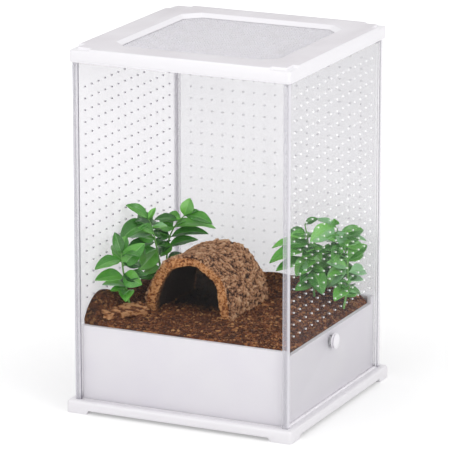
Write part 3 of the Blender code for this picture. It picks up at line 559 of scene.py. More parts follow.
def soil_height(x, y):
    """Height of the soil at a place, as in the CAD solid."""
    from_front = max(y + SOIL_HALF, 0.0)
    from_right = max(SOIL_HALF - x, 0.0)
    ease = (1 - math.exp(-from_front / SOIL_EASE)) * (1 - math.exp(-from_right / SOIL_EASE))
    at_left = bell(x + SOIL_HALF, LEFT_BANK_WIDTH)
    at_back = bell(SOIL_HALF - y, BACK_BANK_WIDTH)
    mound = MOUND * bell(y - MOUND_Y, MOUND_WIDTH)
    ripple = RIPPLE * math.sin(x * 190 + 1.0) * math.sin(y * 160 + x * 60)
    rise = (LEFT_BANK * ease + mound) * at_left + (SOIL_FILL + BACK_BANK * at_back + ripple) * ease
    return SOIL_EDGE + rise - SILL_DROP * bell(from_right, SILL_REACH)


def soil_darkening(x, y):
    """How much the soil is darkened, from 0 to 1: most under the bark, as painted shade, and a little on the mound at
    the left.
    """
    # Beyond the bark the painted shade leans to the left, where the camera sees it through the tube
    lean = 0.45 * max(y - BARK_FRONT - BARK_LENGTH, 0.0)
    across = clamp((BARK_SHADE_HALF - abs(x - BARK_X + lean)) / 0.006)
    along = clamp((y - BARK_FRONT - BARK_SHADE_START) / 0.022)
    mound = MOUND_DARKENING * clamp((MOUND_DARK_X - x) / 0.02)
    return max(across * along, mound)


def solid_copy(node, name):
    """A copy of a CAD solid whose loose triangles are merged into flat faces."""
    made = new_object(name, bpy.data.objects[node].data.copy())
    with editing(made):
        bpy.ops.mesh.remove_doubles(threshold=0.00001)
        bpy.ops.mesh.dissolve_limited(angle_limit=math.radians(0.5))
    return made


def soften(item, width):
    """Rounds a moulding's edges a little and shades it smooth across them."""
    use_modifier(item, "BEVEL", width=width, segments=2, limit_method="ANGLE", angle_limit=math.radians(30))
    smooth(item, 35)


def place_vertices(item, move):
    """Moves each vertex of a mesh by a function of its place."""
    for vert in item.data.vertices:
        vert.co = move(vert.co.copy())
    item.data.update()


def store(item, name, values):
    """Keeps one number for each vertex as an attribute that a material reads."""
    kept = item.data.attributes.new(name, "FLOAT", "POINT")
    kept.data.foreach_set("value", values)


def length_property(name, description, default, least):
    """A length that a user can change."""
    return bpy.props.FloatProperty(name=name, description=description, default=default, min=least, unit="LENGTH")


def share_property(name, description, default):
    """A share from 0 to 1 that a user can change."""
    return bpy.props.FloatProperty(
        name=name, description=description, default=default, min=0.0, max=1.0, subtype="FACTOR")


def colour_property(name, description, text):
    """A colour that a user can change."""
    return bpy.props.FloatVectorProperty(
        name=name, description=description, default=linear(text), min=0.0, max=1.0, size=3, subtype="COLOR")


class TerrariumSizes(bpy.types.PropertyGroup):
    """Sizes that a user would change."""
    hole_diameter: length_property("Air hole", "Diameter of the drilled air holes", 0.0015, 0.0005)
    wire_pitch: length_property("Mesh pitch", "Distance between the lid mesh's wires", 0.0012, 0.001)
    wire_diameter: length_property("Mesh wire", "Diameter of the lid mesh's wires", 0.0005, 0.0001)
    edge_round: length_property("Edge radius", "Rounding of the moulded edges", 0.0004, 0.0001)
    soil_cell: length_property("Soil cell", "Size of the soil's faces", 0.0009, 0.0005)
    crumb_size: length_property("Crumb", "Mean size of the loose crumbs", 0.0015, 0.0005)
    crumb_count: bpy.props.IntProperty(
        name="Crumbs", description="Number of loose crumbs on the soil", default=8000, min=0)
    bark_voxel: length_property("Bark detail", "Size of the bark's smallest faces", 0.0006, 0.0004)
    leaf_wall: length_property("Leaf", "Thickness of a leaf", 0.0006, 0.0002)
    window_haze: share_property("Window haze", "How much of the front sheet's faces shows", 0.003)
    door_haze: share_property("Door haze", "How much of the door's faces shows", 0.012)
    wall_haze: share_property("Wall haze", "How much of the left and back sheets' faces shows", 0.3)


class TerrariumColours(bpy.types.PropertyGroup):
    """Colours that a user would change."""
    white: colour_property("White plastic", "Base, tray, lid and knob", "F0EDF2")
    # The lid's walls and rims take a lighter white, painted light, and its top a greyer one, painted shade
    polished: colour_property("Lid's walls", "Polished walls and rims of the lid", "F6F4F8")
    grained: colour_property("Lid's top", "Fine-grained top of the lid", "D6D0D6")
    tray: colour_property("Tray", "White of the tray, a little bluer", "E4E0E9")
    white_low: colour_property("White plastic, low", "Where the moulding looks a little duller", "EEECEF")
    acrylic: colour_property("Acrylic", "Tint of the clear sheets", "F4F3F8")
    acrylic_wall: colour_property("Acrylic, walls", "Tint of the left sheet", "F4F1F8")
    # The back sheet's darker tint and the door's grey one are painted shade on the same clear acrylic
    acrylic_back: colour_property("Acrylic, back", "Tint of the back sheet", "D6D3DC")
    acrylic_door: colour_property("Acrylic, door", "Tint of the door, greyer", "6B6873")
    # Hole walls: grey in the left and back sheets, painted shade; white in the door, with a faint emission, a painted
    # highlight
    wall_hole_grey_shade: colour_property("Holes, walls", "Drilled holes of the left and back sheets", "A09CA8")
    door_hole_white_highlight: colour_property("Holes, door", "Drilled holes of the door", "FFFFFF")
    profile: colour_property("Corner profile", "The four clear corner profiles", "C1BFCE")
    profile_edge: colour_property("Corner profile, edge", "The profiles where they are seen at a glance", "EBE9F0")
    steel: colour_property("Steel", "Pins, screws and magnets", "C9C9CC")
    wire: colour_property("Lid mesh", "Lacquered wire of the lid mesh", "FAF8FF")
    soil_dark: colour_property("Soil, dark", "Shadowed soil", "211007")
    soil: colour_property("Soil", "Most of the soil", "572F18")
    soil_light: colour_property("Soil, light", "Drier crumbs", "88502C")
    fibre: colour_property("Coir fibre", "Tan flecks", "C08C58")
    # The bark's colours go by relief: partly its own, partly painted shade in the cracks and painted highlight on the
    # flake tips
    bark_crack: colour_property("Bark, cracks", "Bottom of the bark's cracks", "2B1A11")
    bark_dark: colour_property("Bark, dark", "Grooves of the bark", "543728")
    bark: colour_property("Bark", "Weathered outside", "996C4D")
    bark_light: colour_property("Bark, light", "Raised grey-pink plates", "BB8E69")
    bark_pale: colour_property("Bark, pale", "Tips of the flakes", "CBA886")
    cork_dark: colour_property("Cork, dark", "Pits of the broken rim", "6B3B20")
    cork: colour_property("Cork", "Broken rim", "A86B3B")
    cork_light: colour_property("Cork, light", "Fresh edges of the rim", "CB9360")
    # The inside of the tube is painted shade
    cork_inside_shade: colour_property("Cork, inside", "Hollow side of the bark", "1A100B")
    leaf_dark: colour_property("Leaf, dark", "Shaded leaves", "20531E")
    leaf: colour_property("Leaf", "Most leaves", "468F2E")
    leaf_bright: colour_property("Leaf, bright", "Young leaves", "74C04C")
    # Grey-green leaves stand for glossy leaves mirroring the white surround: painted reflection
    leaf_pale_reflection: colour_property("Leaf, pale", "Grey-green leaves", "86BD84")
    vein: colour_property("Veins", "Midrib and side veins", "94C47C")
    stem: colour_property("Stem", "Young stems", "8FBF6A")


class TERRARIUM_OT_stage(bpy.types.Operator):
    """Camera, white floor, soft lamps and a white surround"""
    bl_idname = "terrarium.stage"
    bl_label = "Stage"

    def execute(self, context):
        nothing_selected()
        back = Vector((
            math.sin(CAMERA_AZIMUTH) * math.cos(CAMERA_ELEVATION),
            -math.cos(CAMERA_AZIMUTH) * math.cos(CAMERA_ELEVATION),
            math.sin(CAMERA_ELEVATION),
        ))
        turn = (math.pi / 2 - CAMERA_PITCH, 0.0, CAMERA_YAW)
        bpy.ops.object.camera_add(location=CAMERA_AIM + back * CAMERA_DISTANCE, rotation=turn)
        camera = context.object
        camera.data.lens = CAMERA_LENS
        camera.data.sensor_width = 36.0
        camera.data.clip_end = 40.0
        context.scene.camera = camera
        nothing_selected()
        bpy.ops.mesh.primitive_plane_add(size=30, location=(0, 0, 0))
        floor = context.object
        floor.name = "floor"
        floor.data.materials.append(make_material("white_sweep", white_sweep))
        for name, place, aim, size, power in (
            ("front_softbox", (-1.1, -2.7, 1.7), (0, 0, 0.15), 2.4, 24.8),
            ("right_softbox", (2.7, -1.2, 1.1), (0, 0, 0.2), 1.6, 25.0),
            ("top_softbox", (0.8, -0.2, 2.8), (0, 0, 0.2), 2.0, 3.0),
        ):
            look = (Vector(aim) - Vector(place)).to_track_quat("-Z", "Y").to_euler()
            bpy.ops.object.light_add(type="AREA", location=place, rotation=look)
            lamp = context.object
            lamp.name = name
            lamp.data.size = size
            lamp.data.energy = power
        self.surround(context)
        context.scene.view_settings.view_transform = "Standard"
        return {"FINISHED"}

    def surround(self, context):
        """A white surround: the camera and reflections see it at full white, and it lights a little less."""
        world = bpy.data.worlds.new("white_surround")
        world.use_nodes = True
        tree = world.node_tree
        tree.nodes.clear()
        strength = add(tree, "MapRange", {"Value": background_rays(tree), "To Min": 0.72, "To Max": 1.0})
        light = add(tree, "Background", {"Color": (1, 1, 1), "Strength": strength})
        add(tree, "OutputWorld", {"Surface": light})
        context.scene.world = world


class TERRARIUM_OT_mouldings(bpy.types.Operator):
    """White mouldings: base, tray, lid and the ring that holds the mesh"""
    bl_idname = "terrarium.mouldings"
    bl_label = "White mouldings"

    def execute(self, context):
        colours = context.scene.terrarium_colours
        width = context.scene.terrarium_sizes.edge_round
        white = make_material("white_polystyrene", moulded_polystyrene, colours.white, colours.white_low)
        tray = make_material("tray_polystyrene", moulded_polystyrene, colours.tray, colours.white_low)
        polished = make_material("polished_polystyrene", moulded_polystyrene, colours.polished, colours.polished)
        grained = make_material("grained_polystyrene", moulded_polystyrene, colours.grained, colours.white)
        for node, name, body, share, finishes in (
            ("base_frame", "base_moulding", "root", 1.0, [white]),
            ("substrate_tray", "tray_moulding", "root", 1.0, [tray]),
            ("lid_frame", "lid_moulding", "lid", 0.8, [polished, grained]),
            ("mesh_retainer", "ring_moulding", "lid", 0.6, [white]),
        ):
            made = solid_copy(node, name)
            soften(made, width * share)
            if grained in finishes:
                # Painted shade and painted light: the lid's top gets a greyer white and its walls and corner recesses a
                # lighter one, as the lamps fall on them
                made.data.materials.append(None)
                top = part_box(node)[1].z - 0.5 * MM
                for face in made.data.polygons:
                    face.material_index = int(face.normal.z > 0.95 and face.center.z > top)
            finish_piece(made, name, body, finishes, [node])
        return {"FINISHED"}


class TERRARIUM_OT_knob(bpy.types.Operator):
    """Turned button knob with a domed head on a flange"""
    bl_idname = "terrarium.knob"
    bl_label = "Knob"

    def execute(self, context):
        low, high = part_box("door_knob")
        middle = (low + high) / 2
        radius = (high.z - low.z) / 2
        depth = high.x - low.x
        # Along the axis and out from it, as shares of the knob's depth and radius
        profile = (
            (1.0, 0.0), (0.985, 0.25), (0.945, 0.48), (0.87, 0.70), (0.78, 0.86), (0.69, 0.96), (0.62, 1.0),
            (0.56, 0.995), (0.53, 0.96), (0.525, 0.90), (0.52, 0.80), (0.34, 0.79), (0.33, 0.88), (0.31, 0.95),
            (0.26, 0.985), (0.0, 0.985), (0.0, 0.62), (0.45, 0.62), (0.45, 0.0),
        )
        points = [(low.x + along * depth, 0.0, middle.z + out * radius) for along, out in profile]
        mesh = bpy.data.meshes.new("knob")
        mesh.from_pydata(points, [(number, number + 1) for number in range(len(points) - 1)], [])
        made = new_object("knob", mesh)
        with editing(made):
            bpy.ops.mesh.spin(steps=64, angle=2 * math.pi, center=(0.0, 0.0, middle.z), axis=(1.0, 0.0, 0.0))
            bpy.ops.mesh.select_all(action="SELECT")
            bpy.ops.mesh.remove_doubles(threshold=0.000005)
            bpy.ops.mesh.normals_make_consistent(inside=False)
        smooth(made, 40)
        finish = make_material("gloss_abs", gloss_abs, context.scene.terrarium_colours)
        finish_piece(made, "knob_button", "door", [finish], ["door_knob"])
        return {"FINISHED"}


class TERRARIUM_OT_clear_parts(bpy.types.Operator):
    """Clear sheets: the plain front and header stay as they are, and three sheets get real air holes"""
    bl_idname = "terrarium.clear_parts"
    bl_label = "Clear sheets and profiles"

    def execute(self, context):
        colours = context.scene.terrarium_colours
        sizes = context.scene.terrarium_sizes
        window = make_material("acrylic_window", acrylic_sheet, colours.acrylic, sizes.window_haze, 0.45)
        for node in ("front_window", "door_header"):
            paint_node(node, window)
        front = make_material("extruded_pvc_front", extruded_pvc, colours, 0.3, 0.72)
        rear = make_material("extruded_pvc_rear", extruded_pvc, colours, 0.2, 0.45)
        for side in ("left", "right"):
            paint_node("corner_post_front_" + side, front)
            paint_node("corner_post_back_" + side, rear)
        wall = make_material("acrylic_wall", acrylic_sheet, colours.acrylic_wall, sizes.wall_haze, 0.5)
        # The back sheet and the door take darker tints than the left sheet: painted shade
        back = make_material("acrylic_back", acrylic_sheet, colours.acrylic_back, sizes.wall_haze, 0.5)
        door = make_material("acrylic_door", acrylic_sheet, colours.acrylic_door, sizes.door_haze, 0.25)
        # The grey hole walls are painted shade, and the door's white, emitting hole walls a painted highlight
        wall_holes = make_material("acrylic_wall_holes", drilled_acrylic, colours.wall_hole_grey_shade, 0.0)
        door_holes = make_material("acrylic_door_holes", drilled_acrylic, colours.door_hole_white_highlight, 0.6)
        for node, name, body, side, frost, columns, rows, finishes in (
            ("left_panel", "left_sheet", "root", 1, (0.0, 1.0), SIDE_COLUMNS, SIDE_ROWS[:-1], [wall, wall_holes]),
            ("back_panel", "back_sheet", "root", 0, (1.0, 0.1), BACK_COLUMNS, BACK_ROWS, [back, wall_holes]),
            ("door_panel", "door_sheet", "door", 1, (0.1, 0.56), SIDE_COLUMNS, SIDE_ROWS, [door, door_holes]),
        ):
            made = self.drilled(node, side, columns, rows, sizes.hole_diameter / 2)
            low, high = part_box(node)
            middle = (low + high)[1 - side] / 2
            # How frosted the holes' walls are at the sheet's low face and at its high face
            store(made, "depth", [frost[vert.co[1 - side] > middle] for vert in made.data.vertices])
            finish_piece(made, name, body, finishes, [node])
        return {"FINISHED"}

    def drilled(self, node, side, columns, rows, radius):
        """A sheet from a grid that has a vertex where each hole goes."""
        low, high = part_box(node)
        across = 1 - side
        nothing_selected()
        bpy.ops.mesh.primitive_grid_add(x_subdivisions=len(columns) + 1, y_subdivisions=len(rows) + 1, size=1)
        made = bpy.context.object
        along = [low[side], *columns, high[side]]
        heights = [low.z, *rows, high.z]
        holes = set()
        for vert in made.data.vertices:
            column = round((vert.co.x + 0.5) * (len(columns) + 1))
            row = round((vert.co.y + 0.5) * (len(rows) + 1))
            if 0 < column <= len(columns) and 0 < row <= len(rows):
                holes.add(vert.index)
            place = [0.0, 0.0, heights[row]]
            place[side] = along[column]
            place[across] = (low[across] + high[across]) / 2
            vert.co = place
        select_parts(made, "vertices", lambda vert: vert.index in holes)
        with editing(made, whole=False):
            # Three segments at this profile make each corner of a hole a quarter circle
            bpy.ops.mesh.bevel(offset=radius, segments=3, profile=0.086, affect="VERTICES")
        select_parts(made, "polygons", lambda face: face.area < 4 * radius * radius)
        with editing(made, whole=False):
            bpy.ops.mesh.delete(type="ONLY_FACE")
        # Two material slots, so that the wall's cut faces can take the second
        made.data.materials.append(None)
        made.data.materials.append(None)
        use_modifier(made, "SOLIDIFY", thickness=high[across] - low[across], offset=0, material_offset_rim=1)
        with editing(made):
            bpy.ops.mesh.normals_make_consistent(inside=False)
        return made


class TERRARIUM_OT_lid_mesh(bpy.types.Operator):
    """Woven wire mesh in the lid's window"""
    bl_idname = "terrarium.lid_mesh"
    bl_label = "Lid mesh"

    def execute(self, context):
        sizes = context.scene.terrarium_sizes
        low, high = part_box("lid_mesh")
        level = (low.z + high.z) / 2
        radius = sizes.wire_diameter / 2
        steps = 2 * int((high.x - low.x - 2 * radius) / sizes.wire_pitch / 2)
        span = steps * sizes.wire_pitch
        rise = radius * 0.95
        wires = []
        for turned, phase in ((False, 0), (False, 1), (True, 0), (True, 1)):
            nothing_selected()
            bpy.ops.mesh.primitive_cylinder_add(vertices=3, radius=radius, depth=span, rotation=(0, math.pi / 2, 0))
            wire = context.object
            settle(wire)
            ends = [vert.co.x > 0 for vert in wire.data.vertices]
            select_parts(wire, "edges", lambda edge: ends[edge.vertices[0]] != ends[edge.vertices[1]])
            with editing(wire, whole=False):
                bpy.ops.mesh.subdivide(number_cuts=steps - 1)
            side = -1 if turned else 1
            for vert in wire.data.vertices:
                crossing = round((vert.co.x + span / 2) / sizes.wire_pitch)
                vert.co.z += rise * side * (1 if (crossing + phase) % 2 == 0 else -1)
                vert.co.y += phase * sizes.wire_pitch - span / 2
            use_modifier(wire, "ARRAY", count=steps // 2 + 1 - phase, use_relative_offset=False,
                         use_constant_offset=True, constant_offset_displace=(0, 2 * sizes.wire_pitch, 0))
            if turned:
                place_vertices(wire, lambda co: Vector((co.y, co.x, co.z)))
                with editing(wire):
                    bpy.ops.mesh.flip_normals()
            wires.append(wire)
        select_only(*wires)
        bpy.ops.object.join()
        cloth = context.object
        place_vertices(cloth, lambda co: co + Vector((0, 0, level)))
        bpy.ops.object.shade_smooth()
        finish = make_material("coated_wire", coated_wire, context.scene.terrarium_colours)
        finish_piece(cloth, "wire_cloth", "lid", [finish], ["lid_mesh"])
        return {"FINISHED"}


class TERRARIUM_OT_soil(bpy.types.Operator):
    """Soil with its crumbs"""
    bl_idname = "terrarium.soil"
    bl_label = "Soil"

    def execute(self, context):
        colours = context.scene.terrarium_colours
        sizes = context.scene.terrarium_sizes
        soil = self.bed(context, sizes)
        finish_piece(soil, "soil_bed", "root", [make_material("coir_soil", coir_soil, colours)], ["substrate"])
        crumbs = self.crumbs(context, soil, sizes)
        finish_piece(crumbs, "soil_crumbs", "root", [make_material("soil_crumb", soil_crumb, colours)])
        return {"FINISHED"}

    def bed(self, context, sizes):
        """The body of soil: a fine grid raised to its heights, roughened, and closed below."""
        cells = int(2 * SOIL_HALF / sizes.soil_cell)
        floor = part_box("substrate")[0].z
        nothing_selected()
        bpy.ops.mesh.primitive_grid_add(x_subdivisions=cells, y_subdivisions=cells, size=2 * SOIL_HALF)
        bed = context.object
        place_vertices(bed, self.rough)
        with editing(bed):
            bpy.ops.mesh.region_to_loop()
            bpy.ops.mesh.extrude_edges_move(TRANSFORM_OT_translate={"value": (0, 0, floor - TRAY_TOP)})
            bpy.ops.mesh.edge_face_add()
        for vert in bed.data.vertices:
            if vert.select:
                vert.co.z = floor
        # The mound leans over the tray's wall against the left sheet
        lean = SOIL_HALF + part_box("left_panel")[1].x + SPILL_GAP
        for vert in bed.data.vertices:
            over = clamp((vert.co.z - TRAY_TOP - SPILL_RISE) / (2 * MM))
            near = clamp((SPILL_WIDTH - SOIL_HALF - vert.co.x) / SPILL_WIDTH)
            vert.co.x += over * near * lean
        store(bed, "wet", [soil_darkening(vert.co.x, vert.co.y) for vert in bed.data.vertices])
        smooth(bed, 60)
        return bed

    def rough(self, place):
        """Soil's surface with clods of 8 mm, crumbs of 3 mm and grit of 1.3 mm, calm at its edge."""
        calm = min((SOIL_HALF - max(abs(place.x), abs(place.y))) / (3 * MM), 1.0)
        clods = 1.3 * noise.noise(place / (8 * MM))
        crumbs = 1.7 * (0.55 - noise.voronoi(place / (3.2 * MM))[0][0])
        grit = 0.5 * noise.noise(place / (1.3 * MM))
        place.z = soil_height(place.x, place.y) + calm * (clods + crumbs + grit) * MM
        return place

    def crumbs(self, context, soil, sizes):
        """Loose crumbs strewn over the soil, each a copy of one of three rough lumps."""
        chance = random.Random(SEED)
        nothing_selected()
        bpy.ops.mesh.primitive_ico_sphere_add(subdivisions=1, radius=0.5)
        ball = context.object
        triangles = [tuple(face.vertices) for face in ball.data.polygons]
        lumps = [
            numpy.array([tuple(vert.co * chance.uniform(0.7, 1.25)) for vert in ball.data.vertices])
            for lump in range(3)
        ]
        bpy.data.objects.remove(ball, do_unlink=True)
        points = []
        faces = []
        tones = []
        wet = []
        reach = SOIL_HALF - MM
        context.view_layer.update()
        for number in range(sizes.crumb_count):
            x = chance.uniform(-reach, reach)
            y = chance.uniform(-reach, reach)
            top = soil.ray_cast(Vector((x, y, 0.2)), Vector((0, 0, -1)))[1].z
            size = min(sizes.crumb_size * chance.lognormvariate(0, 0.35), CRUMB_LIMIT)
            stretch = numpy.array((size * chance.uniform(0.8, 1.9), size, size * chance.uniform(0.5, 0.9)))
            turn = Matrix.Rotation(chance.uniform(0, 6.28), 3, "Z") @ Matrix.Rotation(chance.uniform(-0.5, 0.5), 3, "X")
            shaped = (lumps[number % 3] * stretch) @ numpy.array(turn.transposed())
            moved = shaped + numpy.array((x, y, top + size * 0.15))
            faces.extend(tuple(len(points) + corner for corner in triangle) for triangle in triangles)
            points.extend(tuple(point) for point in moved)
            tones.extend([0.15 + 0.8 * chance.random() ** 1.9] * len(moved))
            wet.extend([soil_darkening(x, y)] * len(moved))
        mesh = bpy.data.meshes.new("soil_crumbs")
        mesh.from_pydata(points, [], faces)
        made = new_object("soil_crumbs", mesh)
        store(made, "tone", tones)
        store(made, "wet", wet)
        return made


class TERRARIUM_OT_bark(bpy.types.Operator):
    """Half tube of cork bark, the hide, and the loose chip on the mound"""
    bl_idname = "terrarium.bark"
    bl_label = "Bark"

    def execute(self, context):
        sizes = context.scene.terrarium_sizes
        cork = make_material("cork_oak_bark", cork_oak_bark, context.scene.terrarium_colours)
        # Without a fixed seed the noise vectors start from the clock
        noise.seed_set(SEED)
        hide = self.half_tube(context, sizes.bark_voxel)
        finish_piece(hide, "bark_hide", "root", [cork], ["cork_bark"])
        chip = self.chip(context)
        finish_piece(chip, "bark_splinter", "root", [cork], ["bark_chip"])
        return {"FINISHED"}

    def arch(self, across, along):
        """Point of the tube's outer skin, across from -0.5 to 0.5 and along from -0.5 to 0.5."""
        angle = (0.5 - across) * math.pi
        lump = 1 + 0.016 * math.sin(3 * angle + 5 * along) + 0.008 * math.sin(8 * angle - 7 * along)
        ragged = 1.6 * MM * math.sin(7 * angle) * math.copysign(1, along)
        out = math.copysign(abs(math.cos(angle)) ** (2 / BARK_POWER), math.cos(angle))
        up = abs(math.sin(angle)) ** (2 / BARK_POWER)
        y = BARK_FRONT + BARK_LENGTH * (along + 0.5) + ragged * abs(2 * along) ** 4
        rise = (BARK_RISE - BARK_FALL * (along + 0.5)) * lump
        return Vector((BARK_X + BARK_HALF * lump * out, y, BARK_BASE + rise * up))

    def half_tube(self, context, voxel):
        """The arched sheet, given its wall, remeshed evenly and then broken up into plates."""
        nothing_selected()
        bpy.ops.mesh.primitive_grid_add(x_subdivisions=60, y_subdivisions=24, size=1)
        hide = context.object
        place_vertices(hide, lambda co: self.arch(co.x, co.y))
        top = max(hide.data.polygons, key=lambda face: face.center.z)
        if top.normal.z < 0:
            with editing(hide):
                bpy.ops.mesh.flip_normals()
        use_modifier(hide, "SOLIDIFY", thickness=BARK_WALL, offset=-1)
        use_modifier(hide, "REMESH", mode="VOXEL", voxel_size=voxel)
        self.break_up(hide, self.tube_skin)
        return hide

    def tube_skin(self, place, normal):
        """Height in millimetres, relief and layer of the tube's skin. Its layers run from 0 inside to 1 outside."""
        share = (place.y - BARK_FRONT) / BARK_LENGTH
        out = abs(place.x - BARK_X) / BARK_HALF
        up = max(place.z - BARK_BASE, 0.0) / (BARK_RISE - BARK_FALL * share)
        ring = (out ** BARK_POWER + up ** BARK_POWER) ** (1 / BARK_POWER)
        end_face = abs(normal.y) > 0.55
        warp = noise.noise_vector(place / (7 * MM)) * 0.6
        rough = noise.fractal(place / (1.7 * MM), 0.7, 2.1, 3)
        # The bark splits into plates that run along the tube, and each plate flakes off in thin layers
        plates = noise.voronoi(self.counted(place, 7, 12) + warp)[0]
        crack = min((plates[1] - plates[0]) / 0.16, 1.0)
        flake = flaked(noise.fractal(self.counted(place, 5, 8) + warp, 0.8, 2.2, 4), 3.0, 0.4)
        if ring > 0.93 and not end_face:
            return 1.3 * flake + crack - 0.5 + 0.55 * rough, 0.26 + 0.28 * crack + 0.36 * flake + 0.42 * rough, 1.0
        if ring < 0.87 and not end_face:
            # Painted light: near the mouth the hollow's skin takes the broken rim's orange-brown, and further in it
            # turns to the painted shade inside
            painted_light = max(0.0, 1 - (place.y - BARK_FRONT) / BARK_PAINTED_LIGHT)
            return 0.5 * rough + 0.4 * flake, 0.45 + 0.6 * rough, 0.36 * painted_light
        rim = 0.5 + 0.5 * clamp((ring - 0.955 + 0.02 * rough) / 0.025)
        return 0.6 * rough + 0.5 * flake, 0.5 + 0.55 * rough + 0.35 * flake, rim

    def counted(self, place, across, along):
        """The place, counted in cells of so many millimetres across the tube and along it."""
        return Vector((place.x / across, place.y / along, place.z / across)) / MM

    def break_up(self, item, skin):
        """Raises each vertex by what the skin's function gives there, and keeps its relief and layer."""
        points = item.data.vertices
        skins = [skin(vert.co, vert.normal) for vert in points]
        moved = [vert.co + vert.normal * (height * MM) for vert, (height, relief, layer) in zip(points, skins)]
        for vert, place in zip(points, moved):
            vert.co = place
        item.data.update()
        store(item, "relief", [clamp(relief) for height, relief, layer in skins])
        store(item, "layer", [layer for height, relief, layer in skins])
        smooth(item, 50)

    def chip(self, context):
        """The loose chip: a tapered slab with ragged ends, cut finely and flaked."""
        nothing_selected()
        bpy.ops.mesh.primitive_cube_add(size=1)
        chip = context.object
        with editing(chip):
            bpy.ops.mesh.subdivide(number_cuts=7)
        turn = Matrix.Identity(3)
        for degrees, axis in CHIP_TURN:
            turn = turn @ Matrix.Rotation(math.radians(degrees), 3, axis)
        place_vertices(chip, lambda co: turn @ self.slab(co) + CHIP_MIDDLE)
        # Simple subdivision keeps the split edges of the slab
        use_modifier(chip, "SUBSURF", subdivision_type="SIMPLE", levels=2, render_levels=2)
        self.break_up(chip, self.chip_skin)
        return chip

    def slab(self, place):
        """A point of a unit cube, moved to the chip's slab before it is turned."""
        taper = 0.6 + 0.4 * min(1.0, (place.x + 0.5) * 1.6)
        width = CHIP_WIDTH * taper * (1 + 0.25 * math.sin(place.x * 17) * place.y)
        ragged = 1.6 * MM * math.sin(place.y * 11 + 1.0) * abs(2 * place.x) ** 3
        return Vector((place.x * CHIP_LENGTH + ragged, place.y * width, place.z * CHIP_THICKNESS))

    def chip_skin(self, place, normal):
        """Height in millimetres, relief and layer of the chip's skin, which is broken all round."""
        flake = flaked(noise.fractal(place / (5 * MM), 0.7, 2.1, 4), 2.5, 0.35)
        return 0.8 * flake, 0.36 + 0.9 * flake, 0.65


